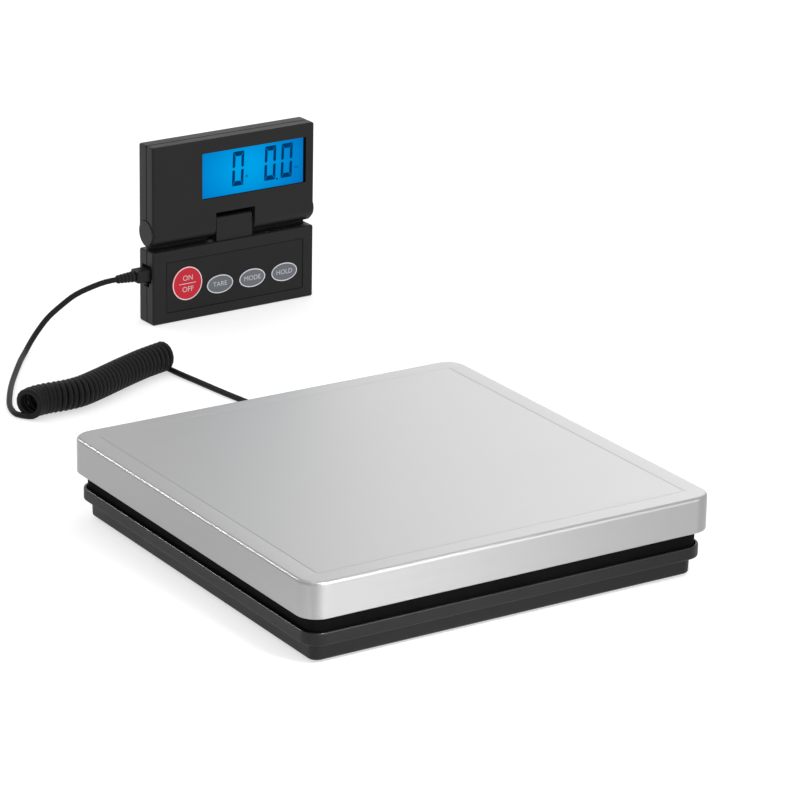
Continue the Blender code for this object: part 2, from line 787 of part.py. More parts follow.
def build_keys(indicator, red, grey):
    front = -INDICATOR_HALF_DEPTH - KEY_PROUD
    flange_front, flange_back = KEY_FLANGE_V
    for name, u, z, half_u, half_z in (POWER_KEY, *SMALL_KEYS):
        rings = []
        for place, larger in (
            (front, -0.4),
            (front + 0.3, 0.0),
            (flange_front, 0.0),
            (flange_front, KEY_FLANGE),
            (flange_back, KEY_FLANGE),
        ):
            outline = circle_points(half_u + larger, half_z + larger, 28)
            rings.append(along("Y", outline, place))
        key = make_solid(name, loft(rings), red if name == "power_key" else grey, indicator)
        key.location = Vector((u, 0.0, z)) * MM


def build_overlay(indicator, film):
    front = -INDICATOR_HALF_DEPTH + 0.15
    overlay = make_solid(
        "keypad_overlay",
        box(
            (OVERLAY_U[0] + GAP, front, OVERLAY_Z[0] + GAP),
            (OVERLAY_U[1] - GAP, front + 0.3, OVERLAY_Z[1] - GAP),
        ),
        film,
        indicator,
    )
    for _, u, z, half_u, half_z in (POWER_KEY, *SMALL_KEYS):
        cut(overlay, key_shape(u, z, half_u + GAP, half_z + GAP, front - 1, front + 1))


def build_key_mat(indicator, rubber):
    front, back = MAT_V
    sheet = box((-46.6, front, 11.5), (48.5, back, 27.0))
    mat = make_solid("key_dome_mat", sheet, rubber, indicator)
    add(mat, box((-45.5, front, 26.5), (-23.0, back, 36.0)))
    for _, u, z, _, _ in (POWER_KEY, *SMALL_KEYS):
        add(mat, turned("Y", (u, z), ((front - 0.55, 1.8), (front + 0.1, 3.6)), 16))


def build_main_board(indicator, board_green):
    """A board below the battery bay, with a wing beside it, and three packages on its back."""
    front, back = MAIN_BOARD_V
    below = box((-48.5, front, 3.0), (48.5, back, 20.9))
    board = make_solid("main_board", below, board_green, indicator)
    add(
        board,
        box((-45.5, front, 20.0), (-1.0, back, 44.0)),
        box((-38.0, back - 0.2, 24.0), (-26.0, back + 1.5, 36.0)),
        box((-12.0, back - 0.2, 30.0), (-4.0, back + 2.3, 40.0)),
        box((-20.0, back - 0.2, 6.0), (-8.0, back + 1.3, 12.0)),
    )


def build_batteries(indicator, cell_green, steel):
    start, tip = CELL_SPAN_U
    end = tip - CELL_NUB
    steps = (
        (start, CELL_SHOULDER),
        (start + 0.6, CELL_RADIUS),
        (end - 0.6, CELL_RADIUS),
        (end, CELL_SHOULDER),
        (end, 1.8),
        (tip, 1.8),
    )
    turned_round = [(start + tip - place, radius) for place, radius in reversed(steps)]
    lower, upper = CELL_HEIGHTS
    for number, z, profile in ((1, lower, steps), (2, upper, turned_round)):
        make_solid(f"battery_cell_{number}", turned("X", (CELL_V, z), profile), cell_green, indicator)
    for side, back, front, end, spring_z, stud_z in (
        ("left", BAY_U[0] + 1.5, BAY_U[0] + 1.9, start - GAP, lower, upper),
        ("right", BAY_U[1] - 0.3, BAY_U[1] - 0.7, tip + GAP, upper, lower),
    ):
        build_contact(f"battery_contact_{side}", back, front, end, spring_z, stud_z, indicator, steel)


def build_contact(name, back, front, end, spring_z, stud_z, indicator, steel):
    """A plate across the bay's end, with a coned spring for one cell and a stud for the other."""
    plate = box(
        (min(back, front), -3.5, BAY_FLOOR + 1.9),
        (max(back, front), 5.4, DOOR_INNER_Z[1] - 1.0),
    )
    contact = make_solid(name, plate, steel, indicator)
    add(
        contact,
        turned("X", (CELL_V, spring_z), sorted(((back, 3.2), (end, 2.0)))),
        turned("X", (CELL_V, stud_z), sorted(((back, 2.6), (end, 1.6)))),
    )


def build_battery_door(indicator, plastic):
    half, depth = INDICATOR_HALF_WIDTH, INDICATOR_HALF_DEPTH
    """A plate that slides behind the bay's lips, with an outer panel and four thumb grooves."""
    tongue_front, tongue_back = DOOR_V
    tongue = box((DOOR_U0, tongue_front, DOOR_INNER_Z[0]), (half, tongue_back, DOOR_INNER_Z[1]))
    door = make_solid("battery_door", tongue, plastic, indicator)
    add(door, box((DOOR_U0, 7.0, DOOR_OUTER_Z[0]), (half, depth, DOOR_OUTER_Z[1])))
    for i in range(4):
        cut(door, cylinder("Z", (44.0 + 2.4 * i, depth + 0.4), 0.8, 28.0, 41.5, 10))


def build_jack(indicator, plastic):
    left = -INDICATOR_HALF_WIDTH + CASE_WALL + 0.4
    nose_v, nose_z = PLUG_NOSE[0] / 2 + GAP, PLUG_NOSE[1] / 2 + GAP
    block = box((left, -6.2, 23.2), (JACK_BACK_U, 5.0, 37.6))
    jack = make_solid("jack_housing", block, plastic, indicator)
    floor = JACK_BACK_U - 1.5
    cut(
        jack,
        box((left - 1, PLUG_V - nose_v, PLUG_Z - nose_z), (floor, PLUG_V + nose_v, PLUG_Z + nose_z)),
        box((left - 1, PLUG_V - 2.2, 24.6), (floor, PLUG_V + 2.2, PLUG_Z)),
    )


def build_plug(indicator, plastic, rubber):
    grip_v, grip_z = PLUG_GRIP[0] / 2, PLUG_GRIP[1] / 2
    nose_v, nose_z = PLUG_NOSE[0] / 2, PLUG_NOSE[1] / 2
    plug = make_solid(
        "plug",
        rounded_box(
            (PLUG_GRIP_U[0], PLUG_V - grip_v, PLUG_Z - grip_z),
            (PLUG_GRIP_U[1], PLUG_V + grip_v, PLUG_Z + grip_z),
            1.0,
        ),
        plastic,
        indicator,
    )
    nose_low = PLUG_Z - nose_z
    lever = [
        (PLUG_NOSE_TIP - 1.2, nose_low + 0.4),
        (PLUG_NOSE_TIP - 0.4, nose_low - 0.4),
        (LEVER_END_U, 25.6),
        (LEVER_END_U, 26.7),
        (PLUG_NOSE_TIP - 4.2, nose_low + 0.4),
    ]
    add(
        plug,
        box(
            (PLUG_GRIP_U[1] - 1, PLUG_V - nose_v, nose_low),
            (PLUG_NOSE_TIP, PLUG_V + nose_v, PLUG_Z + nose_z),
        ),
        prism("Y", lever, PLUG_V - LEVER_HALF, PLUG_V + LEVER_HALF),
    )
    make_solid("plug_boot", turned("X", (PLUG_V, PLUG_Z), boot_steps(), 16), rubber, indicator)


def boot_steps():
    """A tapered sleeve with a groove after each rib."""
    pitch = (BOOT_U[1] - BOOT_U[0]) / BOOT_RIBS
    steps = []
    for rib in range(BOOT_RIBS):
        place = BOOT_U[0] + pitch * rib
        radius = BOOT_RADIUS + 0.2 * rib
        steps += [(place, radius), (place + 0.62 * pitch, radius + 0.15)]
        steps += [(place + 0.66 * pitch, radius - 0.6), (place + 0.96 * pitch, radius - 0.55)]
    return [*steps, (BOOT_U[1], 3.3)]


def build_display_shells(hinge, plastic):
    """The two halves of one case, which is cut out whole and then parted at the seam."""
    half, depth = INDICATOR_HALF_WIDTH, INDICATOR_HALF_DEPTH
    inner = half - CASE_WALL
    low, high = (-half - 5, -depth - 10, -20.0), (half + 5, depth + 10, DISPLAY_TOP + 5)
    behind_seam = box((low[0], SEAM - GAP / 2, low[2]), high)
    before_seam = box(low, (high[0], SEAM + GAP / 2, high[2]))
    pocket = box(
        (-inner, -depth + DISPLAY_FRONT_WALL, HINGE_RADIUS + 1.4),
        (inner, depth - CASE_WALL, DISPLAY_TOP - CASE_WALL),
    )
    pin_hole = (PIN_SPANS["left"][0] - GAP, PIN_SPANS["right"][1] + GAP)
    for name, other_half in (("front", behind_seam), ("rear", before_seam)):
        body = rounded_box((-half, -depth, -3.0), (half, depth, DISPLAY_TOP), CASE_EDGE)
        shell = make_solid(f"display_{name}_shell", body, plastic, hinge)
        add(shell, cylinder("X", (0.0, 0.0), HINGE_RADIUS, -half, half, 32))
        cut(
            shell,
            pocket,
            box((NOTCH[0], -20.0, -20.0), (NOTCH[1], 20.0, NOTCH_TOP)),
            cylinder("X", (0.0, 0.0), HINGE_PIN + GAP, *pin_hole, 16),
            prism("X", end_cap_outline(GAP), -half - 2, -half + END_CAP_DEPTH),
            prism("X", end_cap_outline(GAP), half - END_CAP_DEPTH, half + 2),
            other_half,
        )
        if name == "front":
            window_low = (WINDOW_U[0], -depth - 3, WINDOW_Z[0])
            cut(shell, box(window_low, (WINDOW_U[1], -depth + 3, WINDOW_Z[1])))
        else:
            wall_low = (NOTCH[0] - NOTCH_WALL_LAP, depth - CASE_WALL, NOTCH_WALL_FROM)
            add(shell, box(wall_low, (NOTCH[1] + NOTCH_WALL_LAP, depth, NOTCH_TOP + NOTCH_WALL_LAP)))
        for place in both_sides(DISPLAY_SCREW):
            cut_screw_hole(shell, place)


def end_cap_outline(margin=0.0):
    """A disc on the hinge's axis with a flat towards the back."""
    radius, flat = END_CAP_RADIUS + margin, END_CAP_FLAT + margin
    side = math.degrees(math.acos(flat / radius))
    return arc((0.0, 0.0), radius, side, 360.0 - side, 22)


def build_hinge(indicator, hinge, plastic, steel):
    for side, name in ((-1, "left"), (1, "right")):
        inner = side * (INDICATOR_HALF_WIDTH - END_CAP_DEPTH + GAP)
        outer = side * (INDICATOR_HALF_WIDTH + END_CAP_PROUD)
        make_solid(f"hinge_cap_{name}", prism("X", end_cap_outline(), inner, outer), plastic, hinge)
    for name, span in PIN_SPANS.items():
        pin = cylinder("X", (0.0, HINGE_HEIGHT), HINGE_PIN, *span, 16)
        make_solid(f"hinge_pin_{name}", pin, steel, indicator)


def build_hinge_loom(indicator, rubber):
    loom = cylinder("Z", LOOM, LOOM_RADIUS, KEYPAD_HEIGHT - 3.0, HINGE_HEIGHT - 3.1, 10)
    make_solid("hinge_loom", loom, rubber, indicator)


def build_display_inside(hinge, glass, guide, rubber, board_green):
    layers = (
        ("display_window", (-25.6, -6.6, 14.8), (53.4, -6.0, 50.0), glass),
        ("lcd_panel", (-27.0, -5.7, 13.0), (55.0, -3.7, 51.6), glass),
        ("lcd_light_guide", (-25.2, -3.4, 16.6), (53.2, -0.6, 49.0), guide),
        ("lcd_connector_strip", (-22.0, -3.4, 13.6), (50.0, -0.2, 15.8), rubber),
    )
    for name, low, high, material in layers:
        make_solid(name, box(low, high), material, hinge)
    sheet = box((-50.0, 0.1, 11.6), (55.5, 0.1 + BOARD, 53.2))
    board = make_solid("display_board", sheet, board_green, hinge)
    add(board, box((6.0, 1.5, 24.0), (22.0, 3.2, 40.0)), box((-44.0, 1.5, 16.0), (-34.0, 4.0, 22.0)))


def main():
    clear_scene()
    black_plastic = make_material("black ABS", (0.03, 0.03, 0.032), 0.5)
    steel_sheet = make_material("satin stainless steel", (0.66, 0.66, 0.66), 0.28, 1.0)
    screw_steel = make_material("zinc plated steel", (0.6, 0.6, 0.62), 0.35, 1.0)
    aluminium = make_material("aluminium", (0.75, 0.75, 0.77), 0.35, 1.0)
    rubber = make_material("black rubber", (0.02, 0.02, 0.02), 0.8)
    vinyl = make_material("cord jacket", (0.02, 0.02, 0.02), 0.45)
    board_green = make_material("circuit board", (0.02, 0.18, 0.07), 0.5)
    key_red = make_material("red key", (0.62, 0.03, 0.05), 0.4)
    key_grey = make_material("grey key", (0.18, 0.19, 0.22), 0.4)
    film = make_material("overlay film", (0.035, 0.035, 0.037), 0.4)
    glass = make_material("display glass", (0.05, 0.35, 0.8), 0.1)
    guide = make_material("light guide", (0.1, 0.5, 0.9), 0.3)
    cell_green = make_material("battery sleeve", (0.05, 0.3, 0.12), 0.4)

    build_base_tray(black_plastic)
    build_feet(rubber)
    build_overload_stops(screw_steel)
    build_platform_frame(black_plastic)
    build_platter_cover(steel_sheet)
    build_load_cell(aluminium, screw_steel)
    build_terminal_board(board_green)
    build_cell_wires(rubber)
    build_gland(rubber)
    build_cord(vinyl)

    indicator = make_empty("indicator", (*INDICATOR_PLACE, 0.0), INDICATOR_YAW)
    hinge = make_empty("display_hinge", (0.0, 0.0, HINGE_HEIGHT), parent=indicator)
    build_keypad_front(indicator, black_plastic)
    build_keypad_rear(indicator, black_plastic)
    build_case_screws(indicator, hinge, screw_steel)
    build_keys(indicator, key_red, key_grey)
    build_overlay(indicator, film)
    build_key_mat(indicator, rubber)
    build_main_board(indicator, board_green)
    build_batteries(indicator, cell_green, screw_steel)
    build_battery_door(indicator, black_plastic)
    build_jack(indicator, black_plastic)
    build_plug(indicator, black_plastic, rubber)
    build_display_shells(hinge, black_plastic)
    build_hinge(indicator, hinge, black_plastic, screw_steel)
    build_hinge_loom(indicator, rubber)
    build_display_inside(hinge, glass, guide, rubber, board_green)


main()
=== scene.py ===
"""Looks of the parcel scale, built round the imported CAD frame.

Sizes are in millimetres unless a name ends in _M, and every mesh is scaled to metres as it is made.
The platform's pieces are made in the world's frame. The indicator's are made in its own frame, in
which u runs right, v back and z up, from the middle of its foot, and the display's from its hinge.
"""

import json
import math

import bmesh
import bpy
from mathutils import Matrix, Vector

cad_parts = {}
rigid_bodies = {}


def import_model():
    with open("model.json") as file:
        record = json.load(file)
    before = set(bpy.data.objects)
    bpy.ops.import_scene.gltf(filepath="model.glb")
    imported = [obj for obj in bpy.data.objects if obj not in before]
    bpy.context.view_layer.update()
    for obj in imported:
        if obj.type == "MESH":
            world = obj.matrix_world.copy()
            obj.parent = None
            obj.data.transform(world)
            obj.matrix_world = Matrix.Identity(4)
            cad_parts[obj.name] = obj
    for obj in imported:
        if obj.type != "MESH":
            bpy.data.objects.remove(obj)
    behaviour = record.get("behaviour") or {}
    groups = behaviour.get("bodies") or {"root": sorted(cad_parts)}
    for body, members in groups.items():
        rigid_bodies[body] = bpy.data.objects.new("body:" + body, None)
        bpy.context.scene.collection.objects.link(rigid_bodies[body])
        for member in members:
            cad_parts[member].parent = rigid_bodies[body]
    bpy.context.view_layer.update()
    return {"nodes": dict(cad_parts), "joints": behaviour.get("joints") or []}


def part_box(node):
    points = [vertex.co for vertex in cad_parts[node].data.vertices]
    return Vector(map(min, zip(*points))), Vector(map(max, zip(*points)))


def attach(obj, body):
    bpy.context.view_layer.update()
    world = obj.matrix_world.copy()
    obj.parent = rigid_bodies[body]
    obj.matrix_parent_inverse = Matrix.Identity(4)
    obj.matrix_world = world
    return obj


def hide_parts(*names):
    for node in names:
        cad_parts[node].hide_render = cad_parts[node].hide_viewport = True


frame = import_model()

MM = 0.001
GAP = 0.3
PAST = 5.0  # how far a cutter reaches past what it cuts

# Platform
COVER_LOW, COVER_HIGH = (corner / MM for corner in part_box("platter_cover"))
COVER_HALF = COVER_HIGH.x
COVER_TOP = COVER_HIGH.z
COVER_BOTTOM = COVER_LOW.z
COVER_SHEET = 0.8
COVER_CORNER = 12.0
COVER_EDGE = 2.0
COVER_BORDER = 11.8
COVER_GROOVE = 0.15
FRAME_HALF = COVER_HALF - COVER_SHEET - 0.4
FRAME_TOP = COVER_TOP - COVER_SHEET - GAP
FRAME_PLATE = 2.5
FRAME_SKIRT_HALF = 119.6
FRAME_SKIRT_TOP = 28.4
FRAME_SKIRT_BOTTOM = 14.7
FRAME_SKIRT_WALL = 2.2
FRAME_RIBS_X = (-90.0, 0.0, 90.0)
FRAME_RIBS_Y = (-60.0, 60.0)
FRAME_RIB_DEPTH = 5.0
BASE_BOTTOM = 1.5
BASE_FLOOR = 4.0
BASE_BODY_HALF = 117.4
BASE_RIM_HALF = 121.9
BASE_STEP = 11.3
BASE_LEDGE = 13.0
BASE_RIM_TOP = 18.3
BASE_WALL = 2.2
RIM_WALL = 1.5
BASE_CORNER = 10.0
FOOT_PLACE = 97.0
FOOT_RADIUS = 9.0
STOP_PLACE = 88.0
SCREW_CLEARANCE = 3.3
SCREW_HEAD_CLEARANCE = 5.4
CELL_END_X = 50.5
CELL_HOLE_SPACING = 13.0
CELL_PAD = (18.0, 17.0)
GLAND_X = 58.0
GLAND_Z = 7.6
GLAND_TIP = 138.0
BOARD_POSTS = ((42.0, 100.0), (74.0, 100.0))

# Indicator
HINGE = next(joint for joint in frame["joints"] if joint["name"] == "display_fold")
HINGE_POINT = Vector(HINGE["pos_m"]) / MM
HINGE_HEIGHT = HINGE_POINT.z
YAW = math.atan2(HINGE["axis"][1], HINGE["axis"][0])
HALF_WIDTH = 59.45
HALF_DEPTH = 8.3
CASE_WALL = 1.8
CASE_EDGE = 1.3
SEAM = -0.8
SEAM_MOUTH = 0.55
SEAM_DEPTH = 0.5
KEYPAD_HEIGHT = 47.5
HINGE_RADIUS = 9.2
HINGE_PIN = 1.5
TOP_RIB_V = (0.5, 3.0)
TOP_RIB_HEIGHT = 49.1
TOP_RIB_INSET = 2.0
NOTCH = (-13.2, 15.5)
NOTCH_TOP = 8.0
NOTCH_WALL_FROM = 1.0
NOTCH_WALL_LAP = 0.5
TONGUE_SIDE_GAP = 1.1
TONGUE_RECESS = 1.5
TONGUE_KNUCKLE = 4.8
TONGUE_CORNER = 2.0
DISPLAY_TOP = 56.5
DISPLAY_FRONT_WALL = 1.4
DISPLAY_POCKET_BOTTOM = 10.6
WINDOW_U = (-23.2, 52.2)
WINDOW_Z = (18.1, 47.6)
LCD_FACE = -6.6
# How far the window reaches past the lit face on the right, where a dark strip of painted shade stands for
# the window's side wall in shade.
LCD_SHADE_STRIP = 1.1
LCD_LOW = (-25.6, LCD_FACE, 14.8)
LCD_HIGH = (53.4, -6.0, 50.0)
END_CAP_RADIUS = 8.0
END_CAP_FLAT = 3.7
END_CAP_PROUD = 0.5
END_CAP_POCKET = 1.7
KEYPAD_SCREW = (53.0, 7.0)
DISPLAY_SCREW = (42.0, 5.8)
SCREW_HOLE = 1.5
SCREW_HEAD_HOLE = 2.9
OVERLAY_U = (-49.6, 51.8)
OVERLAY_Z = (6.7, 39.8)
OVERLAY_RECESS = 0.75
POWER_KEY = ("power_key", -34.5, 24.2, 10.9, 11.0)
SMALL_KEYS = (
    ("tare_key", -10.5, 19.8, 9.75, 6.15),
    ("mode_key", 13.5, 19.8, 9.75, 6.15),
    ("hold_key", 37.5, 19.8, 9.75, 6.15),
)
KEY_FRONT = -HALF_DEPTH - 0.3
KEY_BACK = -5.6
KEY_FLANGE = 0.9
KEY_FLANGE_FRONT = -6.1
DIGIT_BOTTOM = 22.9
DIGIT_HEIGHT = 22.3
DIGIT_WIDTH = 8.3
DIGIT_SLANT = 0.035
DIGIT_STROKE = 2.1
DIGIT_BAR = 3.1
DIGIT_SLIT = 0.16
PRINT_THICKNESS = 0.06
FONT_SIZE_PER_HEIGHT = 1.4
ON_OFF_HEIGHT = 3.45
WORD_HEIGHT = 3.15
UNIT_HEIGHT = 2.1
BAY_U = (1.0, 53.6)
BAY_FLOOR = 22.4
DOOR_U0 = 0.4
DOOR_OUTER_Z = (24.5, 45.0)
DOOR_INNER_Z = (23.7, 45.8)
SOCKET_V = (-6.0, 4.8)
SOCKET_Z = (27.0, 38.2)
LATCH_SLOT_V = (-3.6, 2.4)
LATCH_SLOT_Z = (24.2, 27.1)
PLUG_V = -0.8
PLUG_Z = 32.4
PLUG_NOSE = (8.4, 6.4)
PLUG_GRIP = (8.8, 8.0)
PLUG_GRIP_U = (-68.6, -57.6)
PLUG_NOSE_TIP = -49.2
BOOT_U = (-81.0, -68.9)

# Cord
CORD_DIAMETER = 3.5
COIL_RADIUS = 9.3
COIL_AXIS_Z = 9.45
COIL_TURNS = 34
COIL_CROWDING = 0.12
COIL_POINTS = 18
ROUTE_STEP = 4.0
LEAD_TO_INDICATOR = (
    (48.1, 388.8, 32.4), (40.0, 388.5, 32.2), (30.7, 388.2, 30.7), (19.5, 388.8, 27.3),
    (9.7, 388.3, 22.4), (-0.3, 387.4, 16.4), (-9.2, 384.2, 10.2), (-17.2, 378.9, 5.5),
    (-24.8, 371.3, 2.8), (-32.9, 361.6, 1.9), (-45.4, 343.8, 1.85), (-57.9, 325.0, 1.85),
    (-69.0, 306.0, 1.85), (-76.6, 290.5, 1.85), (-79.3, 277.6, 1.85),
)
COIL_AXIS = (
    (-76.6, 268.9), (-70.0, 272.6), (-61.0, 273.8), (-50.0, 273.3), (-38.3, 274.8),
    (-21.5, 281.8), (-2.7, 291.0), (15.5, 299.2), (28.0, 303.6), (38.0, 306.8),
)
LEAD_TO_BASE = (
    (38.2, 290.6, 1.85), (41.0, 271.0, 1.85), (44.0, 250.0, 1.85), (47.4, 229.6, 1.85),
    (50.6, 209.0, 1.85), (53.4, 190.0, 1.9), (55.7, 173.0, 2.4), (57.3, 158.0, 4.7),
    (57.9, 147.0, 6.9), (58.0, 138.3, 7.6),
)

# Camera and floor
CAMERA_AZIMUTH = -32.92
CAMERA_ELEVATION = 19.72
CAMERA_ROLL = 1.05
CAMERA_PLACE_M = (-1.035706, -1.611170, 0.769432)
CAMERA_LENS = 172.95
SENSOR_WIDTH = 36.0
FLOOR_SIZE_M = 14.0
FLOOR_DROP_M = 0.0001

WORLD = Matrix.Identity(4)
INDICATOR = Matrix.Translation(HINGE_POINT * MM - Vector((0.0, 0.0, HINGE_HEIGHT * MM)))
INDICATOR @= Matrix.Rotation(YAW, 4, "Z")
DISPLAY = INDICATOR @ Matrix.Translation((0.0, 0.0, HINGE_HEIGHT * MM))


# Camera, floor and light


def add_to_scene(obj):
    bpy.context.scene.collection.objects.link(obj)


def make_camera():
    data = bpy.data.cameras.new("camera")
    data.lens = CAMERA_LENS
    data.sensor_width = SENSOR_WIDTH
    camera = bpy.data.objects.new("camera", data)
    place = Matrix.Translation(CAMERA_PLACE_M)
    for turn, axis in ((CAMERA_AZIMUTH, "Z"), (90.0 - CAMERA_ELEVATION, "X"), (CAMERA_ROLL, "Z")):
        place = place @ Matrix.Rotation(math.radians(turn), 4, axis)
    camera.matrix_world = place
    add_to_scene(camera)
    bpy.context.scene.camera = camera


def make_floor():
    bpy.ops.mesh.primitive_plane_add(size=FLOOR_SIZE_M, location=(0.0, 0.0, -FLOOR_DROP_M))
    floor = bpy.context.object
    floor.name = "floor"
    material, shader = new_material("white studio floor")
    set_inputs(shader, Base_Color=(0.5, 0.5, 0.5, 1), Emission_Color=(1, 1, 1, 1), Emission_Strength=0.58)
    set_inputs(shader, Roughness=0.8, Specular_IOR_Level=0.0)
    floor.data.materials.append(material)


def make_area_light(name, place, target, size, power, spread=180.0):
    data = bpy.data.lights.new(name, "AREA")
    data.spread = math.radians(spread)
    data.shape = "RECTANGLE"
    data.size, data.size_y = size
    data.energy = power
    light = bpy.data.objects.new(name, data)
    light.location = place
    light.rotation_euler = (Vector(target) - Vector(place)).to_track_quat("-Z", "Y").to_euler()
    add_to_scene(light)


def make_studio():
    scene = bpy.context.scene
    scene.view_settings.view_transform = "Standard"
    world = bpy.data.worlds.new("studio")
    scene.world = world
    world.use_nodes = True
    set_inputs(world.node_tree.nodes["Background"], Color=(1.0, 1.0, 1.0, 1), Strength=0.9)
    make_area_light("overhead", (0.1, 0.5, 2.4), (0.0, 0.1, 0.0), (2.4, 2.0), 8.0)
    make_area_light("back middle", (1.63, 2.4, 1.05), (0.0, 0.0, 0.0), (0.4, 1.2), 1.7)
    make_area_light("back right", (2.3, 1.9, 1.05), (0.0, 0.0, 0.0), (1.3, 1.2), 7.6)
    make_area_light("front", (0.75, -1.75, 0.75), (0.0, 0.0, 0.0), (0.5, 0.9), 9.0)
    make_area_light("back left", (-0.75, 1.75, 1.15), (-0.1, 0.0, 0.0), (0.25, 0.3), 0.45, 50.0)
    make_area_light("front floor", (0.02, -0.52, 0.6), (-0.05, -0.24, 0.0), (0.2, 0.2), 0.5, 36.0)


# Materials


def new_material(name):
    material = bpy.data.materials.new(name)
    material.use_nodes = True
    return material, material.node_tree.nodes["Principled BSDF"]


def even(level):
    """A grey with this level in all its channels."""
    return (level, level, level)


def set_inputs(node, **settings):
    """Sets a node's sockets. An underscore stands for a space in a socket's name."""
    for key, value in settings.items():
        node.inputs[key.replace("_", " ")].default_value = value


def add_node(material, kind, **settings):
    node = material.node_tree.nodes.new(kind)
    set_inputs(node, **settings)
    return node


def join(material, output, target):
    material.node_tree.links.new(output, target)


def add_noise(material, scale, stretch=(1.0, 1.0, 1.0), detail=3.0, roughness=0.5):
    """Noise over the piece's own coordinates in metres, drawn out along the axes whose stretch is small."""
    coordinates = add_node(material, "ShaderNodeTexCoord")
    mapping = add_node(material, "ShaderNodeMapping", Scale=stretch)
    noise = add_node(material, "ShaderNodeTexNoise", Scale=scale, Detail=detail, Roughness=roughness)
    join(material, coordinates.outputs["Object"], mapping.inputs["Vector"])
    join(material, mapping.outputs["Vector"], noise.inputs["Vector"])
    return noise.outputs["Fac"]


def add_range(material, value, low, high):
    limits = {"From_Min": 0.3, "From_Max": 0.7, "To_Min": low, "To_Max": high}
    mapped = add_node(material, "ShaderNodeMapRange", **limits)
    join(material, value, mapped.inputs["Value"])
    return mapped.outputs["Result"]


def add_colours(material, value, low, high, shader):
    mix = add_node(material, "ShaderNodeMix")
    mix.data_type = "RGBA"
    factor, first, second = (s for s in mix.inputs if s.name in "Factor A B" and s.enabled)
    first.default_value = (*low, 1)
    second.default_value = (*high, 1)
    join(material, value, factor)
    output = next(s for s in mix.outputs if s.enabled)
    join(material, output, shader.inputs["Base Color"])


def add_bump(material, value, strength, distance, shader):
    bump = add_node(material, "ShaderNodeBump", Strength=strength, Distance=distance)
    join(material, value, bump.inputs["Height"])
    join(material, bump.outputs["Normal"], shader.inputs["Normal"])


def moulded(name, low, high, roughness, grain=2600.0, bump=0.25, specular=0.5):
    """Moulded plastic or rubber: a fine spark-eroded grain, and a broad drift in tone and gloss."""
    material, shader = new_material(name)
    drift = add_noise(material, 45.0, detail=4.0)
    add_colours(material, add_range(material, drift, 0.0, 1.0), low, high, shader)
    join(material, add_range(material, drift, roughness[0], roughness[1]), shader.inputs["Roughness"])
    add_bump(material, add_noise(material, grain, detail=2.0), bump, 0.00006, shader)
    set_inputs(shader, Specular_IOR_Level=specular)
    return material


def brushed(name, low, high, roughness, stretch, bump=0.12, scale=900.0):
    """Brushed or machined metal, with the strokes along the axis whose stretch is small."""
    material, shader = new_material(name)
    strokes = add_noise(material, scale, stretch, detail=4.0, roughness=0.6)
    add_colours(material, add_range(material, strokes, 0.0, 1.0), low, high, shader)
    join(material, add_range(material, strokes, roughness[0], roughness[1]), shader.inputs["Roughness"])
    add_bump(material, strokes, bump, 0.00002, shader)
    set_inputs(shader, Metallic=1.0)
    return material


def level_strokes(name, source, amount, roughness):
    """A copy of a brushed finish for a wall that faces front or back, which blurs reflections upwards."""
    material = source.copy()
    material.name = name
    shader = material.node_tree.nodes["Principled BSDF"]
    set_inputs(shader, Anisotropic=amount, Anisotropic_Rotation=0.25, Roughness=roughness)
    for link_to_roughness in list(shader.inputs["Roughness"].links):
        material.node_tree.links.remove(link_to_roughness)
    tangent = add_node(material, "ShaderNodeTangent")
    tangent.direction_type = "RADIAL"
    tangent.axis = "Z"
    join(material, tangent.outputs["Tangent"], shader.inputs["Tangent"])
    return material


def circuit_board(name):
    """Green solder mask over copper tracks, which show as lighter and slightly raised bands."""
    material, shader = new_material(name)
    coordinates = add_node(material, "ShaderNodeTexCoord")
    tracks = add_node(material, "ShaderNodeTexBrick", Scale=300.0, Mortar_Size=0.06)
    set_inputs(tracks, Color1=(0.012, 0.11, 0.045, 1), Color2=(0.016, 0.14, 0.055, 1))
    set_inputs(tracks, Mortar=(0.03, 0.24, 0.09, 1))
    join(material, coordinates.outputs["Object"], tracks.inputs["Vector"])
    join(material, tracks.outputs["Color"], shader.inputs["Base Color"])
    add_bump(material, tracks.outputs["Fac"], 0.2, 0.00004, shader)
    set_inputs(shader, Roughness=0.35)
    return material


def backlit_glass(name, middle_m, reach_m):
    """The lit face of the display: brightest in the middle, and deeper blue towards its edges."""
    material, shader = new_material(name)
    coordinates = add_node(material, "ShaderNodeTexCoord")
    mapping = add_node(material, "ShaderNodeMapping", Location=middle_m, Scale=reach_m)
    mapping.vector_type = "TEXTURE"
    fade = add_node(material, "ShaderNodeTexGradient")
    fade.gradient_type = "SPHERICAL"
    ramp = add_node(material, "ShaderNodeValToRGB")
    ramp.color_ramp.elements[0].color = (0.0, 0.13, 0.475, 1)
    ramp.color_ramp.elements[1].position = 0.85
    ramp.color_ramp.elements[1].color = (0.0, 0.36, 0.80, 1)
    join(material, coordinates.outputs["Object"], mapping.inputs["Vector"])
    join(material, mapping.outputs["Vector"], fade.inputs["Vector"])
    join(material, fade.outputs["Fac"], ramp.inputs["Fac"])
    join(material, ramp.outputs["Color"], shader.inputs["Emission Color"])
    set_inputs(shader, Emission_Strength=0.92, Base_Color=(0.0, 0.02, 0.06, 1))
    set_inputs(shader, Roughness=0.35, Specular_IOR_Level=0.0)
    return material


# Shapes, each a function that fills a bmesh in millimetres


def box(low, high):
    def fill(bm):
        size = Vector(high) - Vector(low)
        middle = (Vector(high) + Vector(low)) / 2
        place = Matrix.Translation(middle) @ Matrix.Diagonal((*size, 1.0))
        bmesh.ops.create_cube(bm, size=1.0, matrix=place)

    return fill


def rounded_box(low, high, radius, segments=3):
    def fill(bm):
        box(low, high)(bm)
        edges = bm.edges[:]
        bmesh.ops.bevel(bm, geom=edges, offset=radius, segments=segments, profile=0.5, affect="EDGES")

    return fill


